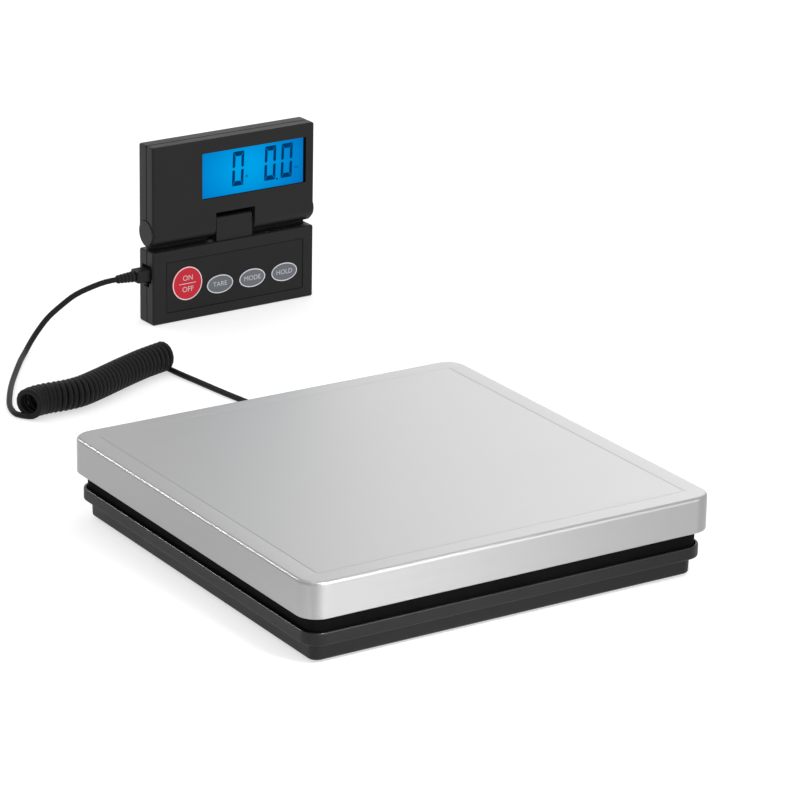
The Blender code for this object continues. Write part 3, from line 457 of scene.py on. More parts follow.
def loft(rings, band=False):
    """Joins rings of equally many points. Flat faces close the ends, or a band joins last to first."""

    def fill(bm):
        rows = [[bm.verts.new(point) for point in ring] for ring in rings]
        following = [*rows[1:], rows[0]] if band else rows[1:]
        for lower, upper in zip(rows, following):
            for i in range(len(lower)):
                j = (i + 1) % len(lower)
                bm.faces.new((lower[i], lower[j], upper[j], upper[i]))
        if not band:
            bm.faces.new(rows[0][::-1])
            bm.faces.new(rows[-1])

    return fill


def together(*shapes):
    def fill(bm):
        for shape in shapes:
            shape(bm)

    return fill


def circle_points(radius_a, radius_b, segments):
    turns = (2 * math.pi * i / segments for i in range(segments))
    return [(radius_a * math.cos(turn), radius_b * math.sin(turn)) for turn in turns]


def along(axis, outline, place):
    """The outline's points on the plane across axis at place. Its numbers are the other axes in order."""
    if axis == "X":
        return [(place, a, b) for a, b in outline]
    if axis == "Y":
        return [(a, place, b) for a, b in outline]
    return [(a, b, place) for a, b in outline]


def prism(axis, outline, start, end):
    return loft([along(axis, outline, start), along(axis, outline, end)])


def turned(axis, centre, steps, segments=32):
    """A round piece along axis: steps are (place, radius)."""
    rings = []
    for place, radius in steps:
        moved = [(centre[0] + a, centre[1] + b) for a, b in circle_points(radius, radius, segments)]
        rings.append(along(axis, moved, place))
    return loft(rings)


def cylinder(axis, centre, radius, start, end, segments=32):
    return turned(axis, centre, ((start, radius), (end, radius)), segments)


def arc(centre, radius, start, end, steps):
    """Points on an arc, from start to end in degrees."""
    turns = (math.radians(start + (end - start) * i / steps) for i in range(steps + 1))
    return [(centre[0] + radius * math.cos(t), centre[1] + radius * math.sin(t)) for t in turns]


def rounded_rectangle(a_range, b_range, radius, segments=5):
    (a0, a1), (b0, b1) = a_range, b_range
    corners = ((a1, b1, 0), (a0, b1, 90), (a0, b0, 180), (a1, b0, 270))
    outline = []
    for a, b, start in corners:
        centre = (a - radius if a == a1 else a + radius, b - radius if b == b1 else b + radius)
        outline += arc(centre, radius, start, start + 90, segments)
    return outline


def grown(outline, distance, mitre=0.3):
    """The outline moved outwards by distance, or inwards if it is negative. A small mitre lets sharp
    corners move further."""
    count = len(outline)
    area = sum(
        outline[i][0] * outline[(i + 1) % count][1] - outline[(i + 1) % count][0] * outline[i][1]
        for i in range(count)
    )
    side = 1.0 if area > 0 else -1.0
    moved = []
    for i in range(count):
        here = Vector(outline[i])
        into = (here - Vector(outline[i - 1])).normalized()
        out_of = (Vector(outline[(i + 1) % count]) - here).normalized()
        first = Vector((into.y, -into.x)) * side
        second = Vector((out_of.y, -out_of.x)) * side
        both = first + second
        moved.append(tuple(here + both * (distance / max(both.dot(first), mitre))))
    return moved


def end_rounded(outline, start, end, edge, steps=4):
    """A body along X with this side outline, and ends rounded to the radius edge."""
    turns = [math.pi / 2 * i / steps for i in range(steps + 1)]
    places = [(start + edge * (1 - math.sin(turn)), turn) for turn in reversed(turns)]
    places += [(end - edge * (1 - math.sin(turn)), turn) for turn in turns]
    return loft([along("X", grown(outline, edge * (math.cos(turn) - 1)), place) for place, turn in places])


def mouth(outline, surface, lip, depth):
    """A cutter along +Y with this outline, whose edge at the surface is rounded off by lip."""
    rings = [along("Y", grown(outline, lip + 0.15), surface - 3.0), along("Y", grown(outline, lip), surface)]
    steps = 3
    for i in range(1, steps + 1):
        turn = math.pi / 2 * i / steps
        place = surface + lip * (1 - math.cos(turn))
        rings.append(along("Y", grown(outline, lip * (1 - math.sin(turn))), place))
    rings.append(along("Y", outline, depth))
    return loft(rings)


def tray(profile, corner, segments=12):
    """A square tray from (half width, height) steps, from one end of its section to the other."""
    outermost = max(half for half, _ in profile)
    rings = []
    for half, z in profile:
        radius = max(corner - (outermost - half), 1.0)
        rings.append(along("Z", rounded_rectangle((-half, half), (-half, half), radius, segments), z))
    return loft(rings)


# Pieces


def link(name, mesh, finish, place):
    obj = bpy.data.objects.new(name, mesh)
    obj.matrix_world = place
    if finish:
        mesh.materials.append(finish)
    add_to_scene(obj)
    return obj


def make(name, shape, finish=None, place=WORLD):
    bm = bmesh.new()
    shape(bm)
    bmesh.ops.scale(bm, vec=(MM, MM, MM), verts=bm.verts)
    bmesh.ops.recalc_face_normals(bm, faces=bm.faces)
    mesh = bpy.data.meshes.new(name)
    bm.to_mesh(mesh)
    bm.free()
    return link(name, mesh, finish, place)


def combine(obj, operation, shapes):
    for shape in shapes:
        helper = make("helper", shape, place=obj.matrix_world)
        helper["helps"] = obj.name
        boolean = obj.modifiers.new("boolean", "BOOLEAN")
        boolean.operation = operation
        boolean.object = helper


def evaluated_mesh(obj):
    """A new mesh of the object as its modifiers or its font make it."""
    return bpy.data.meshes.new_from_object(obj.evaluated_get(bpy.context.evaluated_depsgraph_get()))


def settle(obj, sharp=32.0):
    """Applies the Booleans, removes their helpers and sets the shading."""
    weighted = obj.modifiers.new("weighted", "WEIGHTED_NORMAL")
    weighted.keep_sharp = True
    for polish in (False, True):
        weighted.show_viewport = polish
        bpy.context.view_layer.update()
        mesh = evaluated_mesh(obj)
        obj.data = mesh
        if not polish:
            for modifier in [m for m in obj.modifiers if m.type == "BOOLEAN"]:
                obj.modifiers.remove(modifier)
            for helper in [o for o in bpy.data.objects if o.get("helps") == obj.name]:
                bpy.data.objects.remove(helper)
            mesh.shade_smooth()
            mesh.set_sharp_from_angle(angle=math.radians(sharp))
    obj.modifiers.clear()


def piece(name, shape, finish, body, slot, place=WORLD, cuts=(), adds=(), late_cuts=(), replaces=()):
    obj = make(name, shape, finish, place)
    combine(obj, "DIFFERENCE", cuts)
    combine(obj, "UNION", adds)
    combine(obj, "DIFFERENCE", late_cuts)
    settle(obj)
    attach(obj, body)
    if replaces:
        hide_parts(*replaces)
    return obj


def case_piece(name, shape, finish, **more):
    """A moulded piece of the indicator's keypad box, or one that stays with it."""
    return piece(name, shape, finish, "base", "black_abs", INDICATOR, **more)


def lettering(name, text, height, middle, front, finish, body, slot, place):
    """Flat raised characters that face the front, centred on middle."""
    data = bpy.data.curves.new(name, "FONT")
    data.body = text
    data.align_x = "CENTER"
    data.align_y = "CENTER"
    data.size = height * MM * FONT_SIZE_PER_HEIGHT
    data.extrude = PRINT_THICKNESS / 2 * MM
    data.resolution_u = 4
    source = bpy.data.objects.new(name, data)
    add_to_scene(source)
    bpy.context.view_layer.update()
    mesh = evaluated_mesh(source)
    bpy.data.objects.remove(source)
    mesh.transform(Matrix.Rotation(math.pi / 2, 4, "X"))
    mesh.transform(Matrix.Translation(Vector((middle[0], front, middle[1])) * MM))
    mesh.materials.clear()
    obj = link(name, mesh, finish, place)
    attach(obj, body)
    return obj


# Cord


def smooth_route(points, step):
    """Points about a step apart along a Catmull-Rom curve through the route's own points."""
    route = [Vector(point) for point in points]
    route = [2 * route[0] - route[1], *route, 2 * route[-1] - route[-2]]
    found = []
    for before, start, end, after in zip(route, route[1:], route[2:], route[3:]):
        count = max(1, round((end - start).length / step))
        for i in range(count):
            t = i / count
            square = 2 * before - 5 * start + 4 * end - after
            cube = 3 * start - before - 3 * end + after
            found.append((2 * start + (end - before) * t + square * t**2 + cube * t**3) / 2)
    return [*found, route[-2]]


def coil_points():
    """The coil's turns. It starts and ends on the floor, heading towards the platform."""
    axis = smooth_route([(x, y, COIL_AXIS_Z) for x, y in COIL_AXIS], 1.0)
    lengths = [0.0]
    for here, there in zip(axis, axis[1:]):
        lengths.append(lengths[-1] + (there - here).length)
    margin = CORD_DIAMETER / 2
    radius = COIL_RADIUS - CORD_DIAMETER / 2 - 0.05
    points = []
    index = 0
    total = COIL_TURNS * COIL_POINTS
    for i in range(total + 1):
        part = i / total
        place = margin + (lengths[-1] - 2 * margin) * part * (1 - COIL_CROWDING * (1 - part))
        while lengths[index + 1] < place:
            index += 1
        share = (place - lengths[index]) / (lengths[index + 1] - lengths[index])
        middle = axis[index].lerp(axis[index + 1], share)
        forward = (axis[index + 1] - axis[index]).normalized()
        side = forward.cross(Vector((0, 0, 1)))
        turn = 2 * math.pi * i / COIL_POINTS
        points.append(middle + radius * (math.sin(turn) * side - math.cos(turn) * Vector((0, 0, 1))))
    return points


def make_cord(finish):
    turns = coil_points()
    first = smooth_route([*reversed(LEAD_TO_BASE), turns[-1]], ROUTE_STEP)
    last = smooth_route([turns[0], *reversed(LEAD_TO_INDICATOR)], ROUTE_STEP)
    points = [*first[:-1], *reversed(turns), *last[1:]]
    curve = bpy.data.curves.new("curly_cord", "CURVE")
    curve.dimensions = "3D"
    curve.bevel_depth = CORD_DIAMETER / 2 * MM
    curve.bevel_resolution = 4
    curve.use_fill_caps = True
    spline = curve.splines.new("POLY")
    spline.points.add(len(points) - 1)
    for target, point in zip(spline.points, points):
        target.co = (*(point * MM), 1.0)
    curve.materials.append(finish)
    cord = bpy.data.objects.new("curly_cord", curve)
    add_to_scene(cord)
    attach(cord, "base")
    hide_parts("cord_lead_indicator", "cord_coil", "cord_lead_base")
    length = sum((there - here).length for here, there in zip(points, points[1:]))
    return cord, points[0] * MM, length * MM


# Platform pieces


def make_cover(finish, front_finish, shaded_side_finish):
    top = (COVER_HALF - COVER_EDGE, COVER_TOP - COVER_EDGE)
    border = COVER_HALF - COVER_BORDER
    outside = [
        (border - 1.2, COVER_TOP),
        (border - 0.5, COVER_TOP - COVER_GROOVE),
        (border, COVER_TOP - COVER_GROOVE),
        (border + 0.7, COVER_TOP),
        *arc(top, COVER_EDGE, 90, 0, 9),
    ]
    inside = arc(top, COVER_EDGE - COVER_SHEET, 0, 90, 6)
    profile = (
        *outside,
        (COVER_HALF, COVER_BOTTOM + 0.3),
        (COVER_HALF - 0.25, COVER_BOTTOM),
        (COVER_HALF - COVER_SHEET + 0.2, COVER_BOTTOM),
        (COVER_HALF - COVER_SHEET, COVER_BOTTOM + 0.3),
        *inside,
    )
    shape = tray(profile, COVER_CORNER)
    sheet = piece("platter_sheet", shape, finish, "platter", "stainless_sheet", replaces=["platter_cover"])
    sheet.data.materials.append(front_finish)
    sheet.data.materials.append(shaded_side_finish)
    # The left and right walls and their curved edges take a darker copy of the steel, which is painted shade;
    # the front and back walls take the levelled finish.
    for face in sheet.data.polygons:
        if abs(face.normal.x) > abs(face.normal.y) and abs(face.normal.z) < 0.98:
            face.material_index = 2
        elif abs(face.normal.z) < 0.4:
            face.material_index = 1


def make_frame_moulding(finish):
    skirt_inside = FRAME_SKIRT_HALF - FRAME_SKIRT_WALL
    plate_under = FRAME_TOP - FRAME_PLATE
    profile = (
        (skirt_inside, plate_under),
        (skirt_inside, FRAME_SKIRT_BOTTOM + 0.3),
        (skirt_inside + 0.3, FRAME_SKIRT_BOTTOM),
        (FRAME_SKIRT_HALF - 0.8, FRAME_SKIRT_BOTTOM),
        (FRAME_SKIRT_HALF - 0.4, FRAME_SKIRT_BOTTOM + 0.5),
        (FRAME_SKIRT_HALF, FRAME_SKIRT_TOP - 0.3),
        (FRAME_SKIRT_HALF + 0.3, FRAME_SKIRT_TOP),
        (FRAME_HALF - 0.4, FRAME_SKIRT_TOP),
        (FRAME_HALF, FRAME_SKIRT_TOP + 0.4),
        *arc((FRAME_HALF - COVER_EDGE, FRAME_TOP - COVER_EDGE), COVER_EDGE, 0, 90, 5),
    )
    rib_bottom, rib_top = plate_under - FRAME_RIB_DEPTH, plate_under + 0.5
    inside = skirt_inside + 0.5
    ribs = [box((-inside, y - 1.0, rib_bottom), (inside, y + 1.0, rib_top)) for y in FRAME_RIBS_Y]
    ribs += [box((x - 1.0, -inside, rib_bottom), (x + 1.0, inside, rib_top)) for x in FRAME_RIBS_X]
    stops = [
        cylinder("Z", (x, y), 5.0, 18.6, rib_top)
        for x in (-STOP_PLACE, STOP_PLACE)
        for y in (-STOP_PLACE, STOP_PLACE)
    ]
    pad_x, pad_y = CELL_PAD
    boss = box((CELL_END_X - pad_x, -pad_y, 33.7), (CELL_END_X + pad_x, pad_y, rib_top))
    holes = []
    for x in (CELL_END_X - CELL_HOLE_SPACING / 2, CELL_END_X + CELL_HOLE_SPACING / 2):
        holes.append(cylinder("Z", (x, 0), SCREW_HEAD_CLEARANCE, 39.0, 50.0))
        holes.append(cylinder("Z", (x, 0), SCREW_CLEARANCE, 30.0, 40.0))
    shape = tray(profile, COVER_CORNER - COVER_SHEET)
    more = {"adds": [*ribs, boss, *stops], "late_cuts": holes, "replaces": ["platform_frame"]}
    # The finish given here is the darker, duller copy of black ABS, painted shade for the moulding that sits
    # in shade under the cover.
    piece("platform_moulding", shape, finish, "platform", "black_abs", **more)


def make_base_moulding(finish, rim_finish):
    body, rim = BASE_BODY_HALF, BASE_RIM_HALF
    profile = (
        *reversed(arc((body - 1.6, BASE_BOTTOM + 1.4), 1.4, 0, -90, 4)),
        (body, BASE_STEP - 0.5),
        (body + 0.15, BASE_STEP - 0.15),
        (body + 0.5, BASE_STEP),
        *arc((rim - 0.9, BASE_STEP + 0.9), 0.9, -90, 0, 4),
        *arc((rim - 0.8, BASE_RIM_TOP - 0.8), 0.8, 0, 90, 4),
        *arc((rim - RIM_WALL + 0.4, BASE_RIM_TOP - 0.4), 0.4, 90, 180, 3),
        (rim - RIM_WALL, BASE_LEDGE + 0.3),
        (rim - RIM_WALL - 0.3, BASE_LEDGE),
        (body - BASE_WALL + 0.3, BASE_LEDGE),
        (body - BASE_WALL, BASE_LEDGE - 0.3),
        (body - BASE_WALL, BASE_FLOOR + 0.8),
        (body - BASE_WALL - 0.8, BASE_FLOOR),
    )
    corners = [(x, y) for x in (-1, 1) for y in (-1, 1)]
    under = BASE_BOTTOM + 0.5
    pad_x, pad_y = CELL_PAD
    adds = [
        box((-CELL_END_X - pad_x, -pad_y, under), (-CELL_END_X + pad_x, pad_y, 6.5)),
        *(cylinder("Z", (x * STOP_PLACE, y * STOP_PLACE), 5.5, under, 12.0) for x, y in corners),
        *(cylinder("Z", post, 2.5, under, 7.4) for post in BOARD_POSTS),
    ]
    cuts = []
    for x in (-CELL_END_X - CELL_HOLE_SPACING / 2, -CELL_END_X + CELL_HOLE_SPACING / 2):
        cuts.append(cylinder("Z", (x, 0), SCREW_HEAD_CLEARANCE, 0, 5.0))
        cuts.append(cylinder("Z", (x, 0), SCREW_CLEARANCE, 4.0, 8.0))
    places = [(x * FOOT_PLACE, y * FOOT_PLACE) for x, y in corners]
    cuts += [cylinder("Z", place, SCREW_CLEARANCE, 0, 5.0) for place in places]
    foot_seat = ((0.0, 10.0), (BASE_BOTTOM, 10.0), (BASE_BOTTOM + 0.25, 9.6))
    cuts += [turned("Z", place, foot_seat) for place in places]
    cuts += [cylinder("Z", (x * STOP_PLACE, y * STOP_PLACE), 2.4, 7.0, 13.0) for x, y in corners]
    cuts.append(cylinder("Y", (GLAND_X, GLAND_Z), 2.9, 113.0, 119.0))
    label = rounded_rectangle((-40.0, 40.0), (-70.0, -30.0), 4.0)
    cuts.append(prism("Z", label, 0.0, BASE_BOTTOM + 0.35))
    shape = tray(profile, BASE_CORNER)
    more = {"adds": adds, "late_cuts": cuts, "replaces": ["base_tray"]}
    moulding = piece("base_moulding", shape, finish, "base", "black_abs", **more)
    moulding.data.materials.append(rim_finish)
    for face in moulding.data.polygons:
        if face.center.z > (BASE_RIM_TOP - 0.9) * MM and 0.2 < face.normal.z < 0.98:
            face.material_index = 1


def make_feet(finish):
    for side_y, depth in ((-1, "front"), (1, "rear")):
        for side_x, side in ((-1, "left"), (1, "right")):
            node = f"foot_{depth}_{side}"
            steps = [(0.12, 1.0), (0.12, 3.4), (0.4, 3.6), (0.4, 4.4), (0.12, 4.6), (0.0, 6.6)]
            steps += [(0.0, 7.6), (0.25, 8.4), (0.7, 8.9), (1.1, FOOT_RADIUS), (1.5, FOOT_RADIUS - 0.1)]
            steps += [(1.5, 3.0), (4.4, 3.0), (4.4, 4.4), (6.4, 3.4)]
            place = (side_x * FOOT_PLACE, side_y * FOOT_PLACE)
            pad = turned("Z", place, steps, 48)
            piece(f"{node}_pad", pad, finish, "base", "black_rubber", replaces=[node])


def make_gland(finish):
    inside, outside = BASE_BODY_HALF - BASE_WALL, BASE_BODY_HALF
    steps = [(inside - 3.0, 3.3), (inside - GAP, 3.3), (inside - GAP, 2.6), (outside + GAP, 2.6)]
    steps += [(outside + GAP, 2.9), (outside + 0.5, 3.1), (outside + 2.0, 3.1), (outside + 2.4, 2.8)]
    ribs = 5
    start = outside + 3.0
    pitch = (GLAND_TIP - start - 1.0) / ribs
    for i in range(ribs):
        radius = 2.75 - 0.08 * i
        steps += [(start + pitch * i, radius), (start + pitch * (i + 0.6), radius - 0.05)]
        steps += [(start + pitch * (i + 0.68), radius - 0.45), (start + pitch * (i + 0.92), radius - 0.45)]
    steps += [(GLAND_TIP - 0.6, 2.3), (GLAND_TIP, 2.1)]
    sleeve = turned("Y", (GLAND_X, GLAND_Z), steps)
    piece("gland_sleeve", sleeve, finish, "base", "black_rubber", replaces=["cord_gland"])


# Indicator pieces


def across(low_v, high_v, low_z, high_z):
    """A cutter over the indicator's whole width and past both its sides."""
    return box((-HALF_WIDTH - PAST, low_v, low_z), (HALF_WIDTH + PAST, high_v, high_z))


def screw_places(screw):
    return [(side * screw[0], screw[1]) for side in (-1, 1)]


def socket_cuts():
    outside = -HALF_WIDTH - 2
    inside = -HALF_WIDTH + CASE_WALL + 0.5
    return [
        box((outside, SOCKET_V[0], SOCKET_Z[0]), (inside, SOCKET_V[1], SOCKET_Z[1])),
        box((outside, LATCH_SLOT_V[0], LATCH_SLOT_Z[0]), (inside, LATCH_SLOT_V[1], LATCH_SLOT_Z[1])),
    ]


def key_outline(key, larger=0.0):
    _, u, z, half_u, half_z = key
    return [(u + a, z + b) for a, b in circle_points(half_u + larger, half_z + larger, 64)]


def tongue_outline():
    front = -HALF_DEPTH + TONGUE_RECESS
    back = SEAM - GAP
    top = HINGE_HEIGHT + TONGUE_KNUCKLE
    root = KEYPAD_HEIGHT - 1.2
    corner = (front + TONGUE_CORNER, top - TONGUE_CORNER)
    return [
        (front, root),
        *arc(corner, TONGUE_CORNER, 180.0, 90.0, 5),
        *arc((0.0, HINGE_HEIGHT), TONGUE_KNUCKLE, 90.0, -90.0, 16),
        (back, HINGE_HEIGHT - TONGUE_KNUCKLE - 1.0),
        (back, root),
    ]


def keypad_body():
    outline = rounded_rectangle((-HALF_DEPTH, HALF_DEPTH), (0.0, KEYPAD_HEIGHT), CASE_EDGE)
    return end_rounded(outline, -HALF_WIDTH, HALF_WIDTH, CASE_EDGE - 0.1)


def make_keypad_front(finish):
    inner = HALF_WIDTH - CASE_WALL
    hollow = box((-inner, -HALF_DEPTH + CASE_WALL, CASE_WALL), (inner, 0.0, KEYPAD_HEIGHT - CASE_WALL))
    recess = rounded_rectangle(OVERLAY_U, OVERLAY_Z, 1.0)
    tongue = end_rounded(tongue_outline(), NOTCH[0] + TONGUE_SIDE_GAP, NOTCH[1] - TONGUE_SIDE_GAP, 0.35, 3)
    post_front = -HALF_DEPTH + CASE_WALL - 0.5
    posts = [cylinder("Y", place, 3.0, post_front, SEAM - GAP / 2) for place in screw_places(KEYPAD_SCREW)]
    late = [cylinder("Y", place, SCREW_HOLE, -6.0, 0.0) for place in screw_places(KEYPAD_SCREW)]
    late.append(box((-0.45, -5.6, KEYPAD_HEIGHT - 5), (2.75, -2.4, HINGE_HEIGHT - 2.7)))
    late.append(cylinder("X", (0.0, HINGE_HEIGHT), HINGE_PIN + GAP, NOTCH[0] - PAST, NOTCH[1] + PAST))
    cuts = [
        across(SEAM - GAP / 2, HALF_DEPTH + PAST, -PAST, KEYPAD_HEIGHT + PAST),
        seam_groove(0.0, KEYPAD_HEIGHT),
        hollow,
        mouth(recess, -HALF_DEPTH, 0.2, -HALF_DEPTH + OVERLAY_RECESS),
        *(prism("Y", key_outline(key, GAP), -HALF_DEPTH - 1, -5.0) for key in (POWER_KEY, *SMALL_KEYS)),
        *socket_cuts(),
    ]
    adds = [tongue, *posts]
    more = {"cuts": cuts, "adds": adds, "late_cuts": late, "replaces": ["keypad_front_shell"]}
    case_piece("keypad_front_case", keypad_body(), finish, **more)


def make_keypad_rear(finish):
    inner = HALF_WIDTH - CASE_WALL
    high = KEYPAD_HEIGHT - CASE_WALL
    hollow = box((-inner, -HALF_DEPTH, CASE_WALL), (inner, HALF_DEPTH - CASE_WALL, high))
    wall_top = high + 0.4
    wall_back = HALF_DEPTH - CASE_WALL + 0.4
    adds = [
        box((BAY_U[0], -0.4, BAY_FLOOR - 1.2), (inner + 0.4, wall_back, BAY_FLOOR)),
        box((BAY_U[0], -0.4, BAY_FLOOR - 0.6), (BAY_U[0] + 1.2, wall_back, wall_top)),
        box((BAY_U[1], -0.4, BAY_FLOOR - 0.6), (BAY_U[1] + 1.2, wall_back, wall_top)),
        box(
            (TOP_RIB_INSET - HALF_WIDTH, TOP_RIB_V[0], wall_top),
            (HALF_WIDTH - TOP_RIB_INSET, TOP_RIB_V[1], TOP_RIB_HEIGHT),
        ),
        *(cylinder("Y", place, 3.2, SEAM + GAP / 2, wall_back) for place in screw_places(KEYPAD_SCREW)),
    ]
    left, right = DOOR_U0 - GAP, HALF_WIDTH + PAST
    late = [
        box((left, 7.3, DOOR_OUTER_Z[0] - GAP), (right, HALF_DEPTH + PAST, DOOR_OUTER_Z[1] + GAP)),
        box((left, 6.3, DOOR_INNER_Z[0] - GAP), (right, 7.6, DOOR_INNER_Z[1] + GAP)),
        box((BAY_U[0] + 1.2, 0.0, BAY_FLOOR + 1.6), (BAY_U[1], 7.0, DOOR_INNER_Z[1] - 0.6)),
    ]
    head_hole = ((5.6, SCREW_HEAD_HOLE), (7.9, SCREW_HEAD_HOLE), (8.3, 3.3), (9.3, 4.3))
    for place in screw_places(KEYPAD_SCREW):
        late.append(turned("Y", place, head_hole))
        late.append(cylinder("Y", place, SCREW_HOLE, -3.0, 6.0))
    cuts = [
        across(-HALF_DEPTH - PAST, SEAM + GAP / 2, -PAST, KEYPAD_HEIGHT + PAST),
        seam_groove(0.0, KEYPAD_HEIGHT),
        hollow,
        *socket_cuts(),
    ]
    more = {"cuts": cuts, "adds": adds, "late_cuts": late, "replaces": ["keypad_rear_shell"]}
    case_piece("keypad_rear_case", keypad_body(), finish, **more)


def make_battery_door(finish):
    depth = HALF_DEPTH
    tongue = rounded_box((DOOR_U0, 6.6, DOOR_INNER_Z[0]), (HALF_WIDTH, 7.3, DOOR_INNER_Z[1]), 0.1, 1)
    plate = rounded_box((DOOR_U0, 6.95, DOOR_OUTER_Z[0]), (HALF_WIDTH, depth, DOOR_OUTER_Z[1]), 0.3, 2)
    grip = ((27.6, 0.2), (28.4, 0.8), (41.1, 0.8), (41.9, 0.2))
    grooves = [turned("Z", (44.0 + 2.4 * i, depth + 0.4), grip, 20) for i in range(4)]
    tip = (40.2, 34.75)
    arrow = [(30.0, 32.6), (36.0, 32.6), (36.0, 30.4), tip, (36.0, 39.1), (36.0, 36.9), (30.0, 36.9)]
    late = [*grooves, prism("Y", arrow, depth - 0.25, depth + 1)]
    place = ("battery_door", "black_abs", INDICATOR)
    piece("battery_cover", plate, finish, *place, adds=[tongue], late_cuts=late, replaces=["battery_door"])


def seam_groove(low, high):
    """A V round a case's parting seam, from the lowest and highest z of its outside."""
    rings = []
    for half_gap, depth in ((SEAM_MOUTH, -1.5), (SEAM_MOUTH, 0.0), (GAP / 2, SEAM_DEPTH)):
        half = HALF_WIDTH - depth
        rings.append((half_gap, rounded_rectangle((-half, half), (low + depth, high - depth), CASE_EDGE)))
    near = [along("Y", outline, SEAM - half_gap) for half_gap, outline in rings]
    far = [along("Y", outline, SEAM + half_gap) for half_gap, outline in reversed(rings)]
    return loft([*near, *far], band=True)


def display_outline():
    junction = math.degrees(math.acos(HALF_DEPTH / HINGE_RADIUS))
    top = DISPLAY_TOP - CASE_EDGE
    flat_side = [(v * HALF_DEPTH / HINGE_RADIUS, z) for v, z in arc((0.0, 0.0), HINGE_RADIUS, 180, 270, 18)]
    return [
        *flat_side[:-1],
        *arc((0.0, 0.0), HINGE_RADIUS, 270, 360 + junction, 24),
        *arc((HALF_DEPTH - CASE_EDGE, top), CASE_EDGE, 0, 90, 5),
        *arc((-HALF_DEPTH + CASE_EDGE, top), CASE_EDGE, 90, 180, 5),
    ]


def end_cap_outline(margin=0.0):
    radius, flat = END_CAP_RADIUS + margin, END_CAP_FLAT + margin
    side = math.degrees(math.acos(flat / radius))
    return arc((0.0, 0.0), radius, side, 360.0 - side, 44)


def make_display_cases(finish, recess_shade):
    inner = HALF_WIDTH - CASE_WALL
    low, high = -4 * PAST, DISPLAY_TOP + PAST
    front_half = across(SEAM - GAP / 2, HALF_DEPTH + 2 * PAST, low, high)
    rear_half = across(-HALF_DEPTH - 2 * PAST, SEAM + GAP / 2, low, high)
    pocket = box(
        (-inner, -HALF_DEPTH + DISPLAY_FRONT_WALL, DISPLAY_POCKET_BOTTOM),
        (inner, HALF_DEPTH - CASE_WALL, DISPLAY_TOP - CASE_WALL),
    )
    notch = [(NOTCH[0], low), (NOTCH[1], low), (NOTCH[1], NOTCH_TOP), (NOTCH[0], NOTCH_TOP)]
    common = [
        pocket,
        mouth(notch, -HALF_DEPTH, 0.3, 20.0),
        cylinder("X", (0.0, 0.0), HINGE_PIN + GAP, -24.3, 26.6),
        prism("X", end_cap_outline(GAP), -HALF_WIDTH - 2, -HALF_WIDTH + END_CAP_POCKET),
        prism("X", end_cap_outline(GAP), HALF_WIDTH - END_CAP_POCKET, HALF_WIDTH + 2),
    ]
    window = rounded_rectangle((WINDOW_U[0], WINDOW_U[1] + LCD_SHADE_STRIP), WINDOW_Z, 0.6)
    screws = []
    for place in screw_places(DISPLAY_SCREW):
        screws.append(turned("Y", place, [(v, SCREW_HEAD_HOLE) for v in (5.6, 8.3, 9.3, 11.0)]))
        screws.append(cylinder("Y", place, SCREW_HOLE, -5.6, 6.0))
    notch_wall = box(
        (NOTCH[0] - NOTCH_WALL_LAP, HALF_DEPTH - CASE_WALL, NOTCH_WALL_FROM),
        (NOTCH[1] + NOTCH_WALL_LAP, HALF_DEPTH, NOTCH_TOP + NOTCH_WALL_LAP),
    )
    for name, half_away, own, adds in (
        ("front", front_half, [mouth(window, -HALF_DEPTH, 0.35, -4.0)], []),
        ("rear", rear_half, [], [notch_wall]),
    ):
        case = piece(
            f"display_{name}_case",
            end_rounded(display_outline(), -HALF_WIDTH, HALF_WIDTH, CASE_EDGE - 0.1),
            finish,
            "display",
            "black_abs",
            DISPLAY,
            cuts=[half_away, seam_groove(-HINGE_RADIUS, DISPLAY_TOP), *common, *own, *screws],
            adds=adds,
            replaces=[f"display_{name}_shell"],
        )
        # The walls of the window's recess take the second finish, a darker copy of black ABS that is painted
        # shade.
        case.data.materials.append(recess_shade)
        for face in case.data.polygons:
            u, v, z = face.center / MM
            beside = WINDOW_U[0] - 0.4 < u < WINDOW_U[1] + LCD_SHADE_STRIP + 0.4
            level = WINDOW_Z[0] - 0.4 < z < WINDOW_Z[1] + 0.4
            if v < SEAM and beside and level and abs(face.normal.y) < 0.5:
                face.material_index = 1


def make_hinge_caps(finish):
    for side, name in ((-1, "left"), (1, "right")):
        inner = side * (HALF_WIDTH - END_CAP_POCKET + GAP)
        outer = side * (HALF_WIDTH + END_CAP_PROUD)
        outline = end_cap_outline()
        rings = [
            along("X", outline, inner),
            along("X", outline, outer - side * 0.35),
            along("X", grown(outline, -0.1), outer - side * 0.12),
            along("X", grown(outline, -0.35), outer),
        ]
        place = ("display", "black_abs", DISPLAY)
        piece(f"hinge_disc_{name}", loft(rings), finish, *place, replaces=[f"hinge_cap_{name}"])


def make_screws(finish):
    steps = ((-5.0, 0.6), (-4.2, 1.2), (5.9, 1.2), (5.9, 2.5), (7.0, 2.5), (7.5, 2.1), (7.7, 1.4))
    for part, screw, body, place in (
        ("keypad", KEYPAD_SCREW, "base", INDICATOR),
        ("display", DISPLAY_SCREW, "display", DISPLAY),
    ):
        for side, (u, z) in zip(("left", "right"), screw_places(screw)):
            name = f"{part}_screw_{side}"
            cross = [
                box((u - 1.3, 6.7, z - 0.25), (u + 1.3, 9.0, z + 0.25)),
                box((u - 0.25, 6.7, z - 1.3), (u + 0.25, 9.0, z + 1.3)),
            ]
            shape = turned("Y", (u, z), steps)
            piece(f"{name}_driven", shape, finish, body, "zinc_steel", place, cuts=cross, replaces=[name])


# Keypad pieces


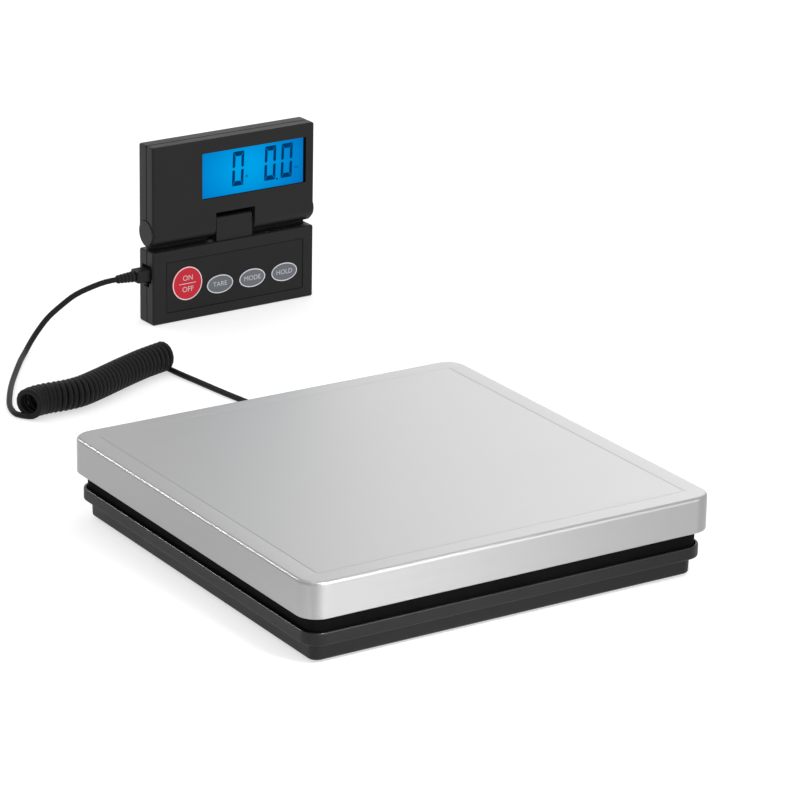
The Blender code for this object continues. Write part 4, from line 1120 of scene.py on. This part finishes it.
def make_overlay(finish):
    front = -HALF_DEPTH + 0.15
    outline = rounded_rectangle(
        (OVERLAY_U[0] + GAP, OVERLAY_U[1] - GAP), (OVERLAY_Z[0] + GAP, OVERLAY_Z[1] - GAP), 0.8
    )
    rings = [
        along("Y", outline, front + 0.3),
        along("Y", outline, front + 0.08),
        along("Y", grown(outline, -0.12), front),
    ]
    holes = [prism("Y", key_outline(key, GAP), front - 1, front + 1) for key in (POWER_KEY, *SMALL_KEYS)]
    place = ("base", "overlay_film", INDICATOR)
    piece("keypad_film", loft(rings), finish, *place, cuts=holes, replaces=["keypad_overlay"])


def key_rings(key, steps):
    """Rings of the key's outline, from (place, how much larger) steps."""
    return [along("Y", key_outline(key, larger), place) for place, larger in steps]


def make_keys(red, grey, ring_finish, print_finish):
    cap = (
        (KEY_BACK, KEY_FLANGE),
        (KEY_FLANGE_FRONT, KEY_FLANGE),
        (KEY_FLANGE_FRONT, 0.0),
        (KEY_FRONT + 0.3, 0.0),
        (KEY_FRONT + 0.12, -0.06),
        (KEY_FRONT + 0.04, -0.2),
        (KEY_FRONT + 0.04, -0.95),
        (KEY_FRONT + 0.02, -1.2),
    )
    ring = (
        (KEY_FRONT + 0.1, -0.12),
        (KEY_FRONT + 0.02, -0.16),
        (KEY_FRONT, -0.3),
        (KEY_FRONT, -0.66),
        (KEY_FRONT + 0.02, -0.78),
        (KEY_FRONT + 0.1, -0.8),
    )
    for key in (POWER_KEY, *SMALL_KEYS):
        name = key[0]
        finish, slot = (red, "key_red") if key is POWER_KEY else (grey, "key_grey")
        piece(f"{name}_cap", loft(key_rings(key, cap)), finish, name, slot, INDICATOR, replaces=[name])
        piece(f"{name}_ring", loft(key_rings(key, ring), band=True), ring_finish, name, slot, INDICATOR)
    _, u, z, _, _ = POWER_KEY
    front = KEY_FRONT + 0.01
    place = (print_finish, "power_key", "key_red", INDICATOR)
    lettering("power_key_on", "ON", ON_OFF_HEIGHT, (u + 0.3, z + 3.5), front, *place)
    lettering("power_key_off", "OFF", ON_OFF_HEIGHT, (u + 0.3, z - 3.9), front, *place)
    line = [(u - 6.0, z - 0.22), (u + 6.0, z - 0.22), (u + 6.0, z + 0.22), (u - 6.0, z + 0.22)]
    half = PRINT_THICKNESS / 2
    piece("power_key_line", prism("Y", line, front - half, front + half), *place)
    for key, word in zip(SMALL_KEYS, ("TARE", "MODE", "HOLD")):
        name, u, z = key[:3]
        lettering(f"{name}_word", word, WORD_HEIGHT, (u, z), front, print_finish, name, "key_grey", INDICATOR)


# Display pieces


def zero_segments(width, height, stroke, bar, slit):
    """The six lit segments of a zero, as corner points from its lower left corner."""
    middle = height / 2
    inner = width - stroke
    pieces = []
    for flip in (False, True):
        bar_points = [
            (slit, 0.0),
            (width - slit, 0.0),
            (inner - slit, bar),
            (stroke + slit, bar),
        ]
        left_points = [
            (0.0, slit),
            (stroke - slit, bar + slit),
            (stroke - slit, middle - 1.6),
            (stroke / 2, middle - 0.5),
            (0.0, middle - 1.2),
        ]
        right_points = [(width - a, b) for a, b in left_points]
        for points in (bar_points, left_points, right_points):
            pieces.append([(a, height - b) for a, b in points] if flip else points)
    return pieces


def make_digits(finish):
    front = LCD_FACE - 0.05
    for name, left in (("tens", -0.7), ("ones", 23.1), ("tenths", 35.4)):
        shapes = []
        for points in zero_segments(DIGIT_WIDTH, DIGIT_HEIGHT, DIGIT_STROKE, DIGIT_BAR, DIGIT_SLIT):
            outline = [(left + a + DIGIT_SLANT * b, DIGIT_BOTTOM + b) for a, b in points]
            shapes.append(prism("Y", outline, front - 0.02, front + 0.02))
        obj = make(f"digit_{name}", together(*shapes), finish, DISPLAY)
        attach(obj, "display")
    place = (finish, "display", "display_glass", DISPLAY)
    point = rounded_rectangle((32.1, 33.3), (22.3, 23.6), 0.25)
    piece("digit_point", prism("Y", point, front - 0.02, front + 0.02), *place)
    for name, text, middle in (("pounds", "lb", (10.3, 28.2)), ("ounces", "oz", (47.2, 28.8))):
        lettering(f"unit_{name}", text, UNIT_HEIGHT, middle, front, *place)


def make_lcd_face(finish, strip_shade):
    place = ("display", "display_glass", DISPLAY)
    edge = rounded_rectangle((WINDOW_U[1], LCD_HIGH[0]), (LCD_LOW[2], LCD_HIGH[2]), 0.3)
    # A dark strip over the lit face's right edge, painted shade standing for the window's side wall in shade.
    piece("display_mask", prism("Y", edge, LCD_FACE - 0.07, LCD_FACE - 0.03), strip_shade, *place)
    pane = rounded_box(LCD_LOW, LCD_HIGH, 0.15, 2)
    piece("display_pane", pane, finish, *place, replaces=["display_window"])


# Plug


def make_jack(finish):
    left = -HALF_WIDTH + CASE_WALL + 0.4
    nose_v, nose_z = PLUG_NOSE[0] / 2 + GAP, PLUG_NOSE[1] / 2 + GAP
    right = PLUG_NOSE_TIP + 0.5
    block = rounded_box((left, -6.2, 23.2), (-47.2, 5.0, 37.6), 0.25, 2)
    cuts = [
        box((left - 1, PLUG_V - nose_v, PLUG_Z - nose_z), (right, PLUG_V + nose_v, PLUG_Z + nose_z)),
        box((left - 1, PLUG_V - 2.2, 24.6), (right, PLUG_V + 2.2, PLUG_Z)),
    ]
    case_piece("jack_block", block, finish, cuts=cuts, replaces=["jack_housing"])


def make_plug(finish, rubber):
    grip_v, grip_z = PLUG_GRIP[0] / 2, PLUG_GRIP[1] / 2
    nose_v, nose_z = PLUG_NOSE[0] / 2, PLUG_NOSE[1] / 2
    lever = [
        (PLUG_NOSE_TIP - 1.2, PLUG_Z - nose_z + 0.4),
        (PLUG_NOSE_TIP - 0.4, PLUG_Z - nose_z - 0.4),
        (-60.6, 25.6),
        (-60.6, 26.7),
        (-53.4, PLUG_Z - nose_z + 0.4),
    ]
    grip = rounded_box(
        (PLUG_GRIP_U[0], PLUG_V - grip_v, PLUG_Z - grip_z),
        (PLUG_GRIP_U[1], PLUG_V + grip_v, PLUG_Z + grip_z),
        1.0,
        4,
    )
    nose = rounded_box(
        (PLUG_GRIP_U[1] - 1, PLUG_V - nose_v, PLUG_Z - nose_z),
        (PLUG_NOSE_TIP, PLUG_V + nose_v, PLUG_Z + nose_z),
        0.3,
        2,
    )
    grooves = [
        box((u, PLUG_V - 5, PLUG_Z + grip_z - 0.35), (u + 0.7, PLUG_V + 5, PLUG_Z + 6))
        for u in (-67.2, -65.6, -64.0)
    ]
    adds = [nose, prism("Y", lever, PLUG_V - 1.6, PLUG_V + 1.6)]
    late = [box((-61.5, PLUG_V - 3.0, 20.0), (-56.0, PLUG_V + 3.0, 26.0))]
    more = {"cuts": grooves, "adds": adds, "late_cuts": late, "replaces": ["plug"]}
    plug = case_piece("modular_plug", grip, finish, **more)
    ribs = 5
    rib = ((0.0, -0.2), (0.12, 0.0), (0.5, 0.15), (0.6, -0.05), (0.66, -0.6), (0.96, -0.55))
    pitch = (BOOT_U[1] - BOOT_U[0]) / ribs
    steps = []
    for i in range(ribs):
        start = BOOT_U[0] + pitch * i
        radius = 2.6 + 0.2 * i
        for part, larger in rib:
            steps.append((start + part * pitch, radius + larger))
    steps.append((BOOT_U[1], 3.3))
    sleeve = turned("X", (PLUG_V, PLUG_Z), steps)
    place = ("base", "black_rubber", INDICATOR)
    boot = piece("boot_sleeve", sleeve, rubber, *place, replaces=["plug_boot"])
    return plug, boot


# CAD nodes that stay, with better finishes


def refinish(material, *nodes):
    for name in nodes:
        mesh = frame["nodes"][name].data
        mesh.materials.clear()
        mesh.materials.append(material)


def finish_inner_nodes(zinc, aluminium, rubber, board):
    corners = ("front_left", "rear_left", "front_right", "rear_right")
    refinish(zinc, *(f"overload_stop_{corner}" for corner in corners))
    refinish(zinc, *(f"load_cell_spacer_{end}" for end in ("lower", "upper")))
    refinish(zinc, *(f"cell_screw_{end}_{number}" for end in ("base", "platform") for number in (1, 2)))
    refinish(zinc, *(f"hinge_pin_{side}" for side in ("left", "right")))
    refinish(zinc, *(f"battery_contact_{side}" for side in ("left", "right")))
    refinish(aluminium, "load_cell_beam")
    refinish(rubber, "key_dome_mat", "lcd_connector_strip", "load_cell_wires", "hinge_loom")
    refinish(board, "terminal_board", "main_board", "display_board")
    glass = moulded("display panel", (0.05, 0.12, 0.16), (0.06, 0.14, 0.2), (0.1, 0.16), 400.0, 0.02)
    refinish(glass, "lcd_panel")
    guide = moulded("light guide", (0.55, 0.7, 0.8), (0.6, 0.75, 0.85), (0.15, 0.25), 900.0, 0.05)
    refinish(guide, "lcd_light_guide")
    sleeve = moulded("battery sleeve", (0.01, 0.09, 0.03), (0.015, 0.12, 0.04), (0.25, 0.35), 700.0, 0.05)
    refinish(sleeve, "battery_cell_1", "battery_cell_2")


def main():
    make_camera()
    abs_low, abs_high = (0.005, 0.005, 0.0055), (0.0075, 0.0075, 0.008)
    black = moulded("black ABS", abs_low, abs_high, (0.42, 0.5), specular=0.22)
    polished = moulded("polished rim", abs_low, abs_high, (0.22, 0.27))
    # The next finish is a darker, duller copy of black ABS: painted shade for the frame moulding, the
    # window's recess walls and the strip beside the lit face.
    shaded_low, shaded_high = (0.004, 0.004, 0.0045), (0.006, 0.006, 0.0065)
    shaded_black = moulded("black ABS with painted shade", shaded_low, shaded_high, (0.7, 0.8), specular=0.03)
    vinyl = moulded("cord jacket", even(0.006), even(0.009), (0.46, 0.54), 1500.0, 0.2, 0.13)
    rubber = moulded("black rubber", even(0.007), even(0.011), (0.6, 0.7), 1400.0, 0.35, 0.25)
    sheen, along_x, along_y = (0.32, 0.38), (0.02, 1.0, 1.0), (1.0, 0.02, 1.0)
    steel = brushed("satin stainless steel", even(0.37), even(0.40), sheen, along_x)
    smooth = brushed("plain steel wall", even(0.370), even(0.376), sheen, along_x, 0.003)
    front_wall = level_strokes("satin steel wall", smooth, 0.85, 0.45)
    # A darker copy of the steel for the left and right walls: painted shade.
    shaded_side_wall = brushed("side steel wall with painted shade", even(0.32), even(0.34), sheen, along_y, 0.003)
    zinc = brushed("zinc plated steel", (0.55, 0.55, 0.57), (0.65, 0.65, 0.67), (0.25, 0.4), even(1.0))
    machined = (0.05, 1.0, 1.0)
    aluminium = brushed("machined aluminium", (0.7, 0.7, 0.72), (0.78, 0.78, 0.8), (0.3, 0.4), machined)
    film = moulded("overlay film", abs_low, (0.007, 0.007, 0.0075), (0.36, 0.42), 3200.0, 0.15, 0.2)
    red = moulded("red key", (0.48, 0.026, 0.04), (0.53, 0.031, 0.047), (0.38, 0.44), 3000.0, 0.12, 0.0)
    grey = moulded("grey key", (0.11, 0.12, 0.14), (0.13, 0.14, 0.16), (0.38, 0.44), 3000.0, 0.12, 0.2)
    pale = moulded("pale print", (0.55, 0.55, 0.57), (0.65, 0.65, 0.67), (0.4, 0.5), 3000.0, 0.05)
    faded = moulded("faded print", (0.44, 0.42, 0.43), (0.50, 0.48, 0.49), (0.4, 0.5), 3000.0, 0.05)
    ink = moulded("display ink", (0.0, 0.032, 0.12), (0.0, 0.042, 0.15), (0.4, 0.5), 3000.0, 0.02, 0.0)
    lit = backlit_glass("lit display face", (0.010, -0.0066, 0.034), (0.054, 0.054, 0.037))
    board = circuit_board("circuit board")

    cord, cord_exit, cord_length = make_cord(vinyl)
    plug, boot = make_plug(black, rubber)
    make_gland(rubber)
    make_cover(steel, front_wall, shaded_side_wall)
    make_frame_moulding(shaded_black)
    make_base_moulding(black, polished)
    make_feet(rubber)
    make_keypad_front(black)
    make_keypad_rear(black)
    make_battery_door(black)
    make_display_cases(black, shaded_black)
    make_hinge_caps(black)
    make_screws(zinc)
    make_overlay(film)
    make_keys(red, grey, pale, faded)
    make_lcd_face(lit, shaded_black)
    make_digits(ink)
    make_jack(black)
    finish_inner_nodes(zinc, aluminium, rubber, board)
    make_floor()
    make_studio()


main()
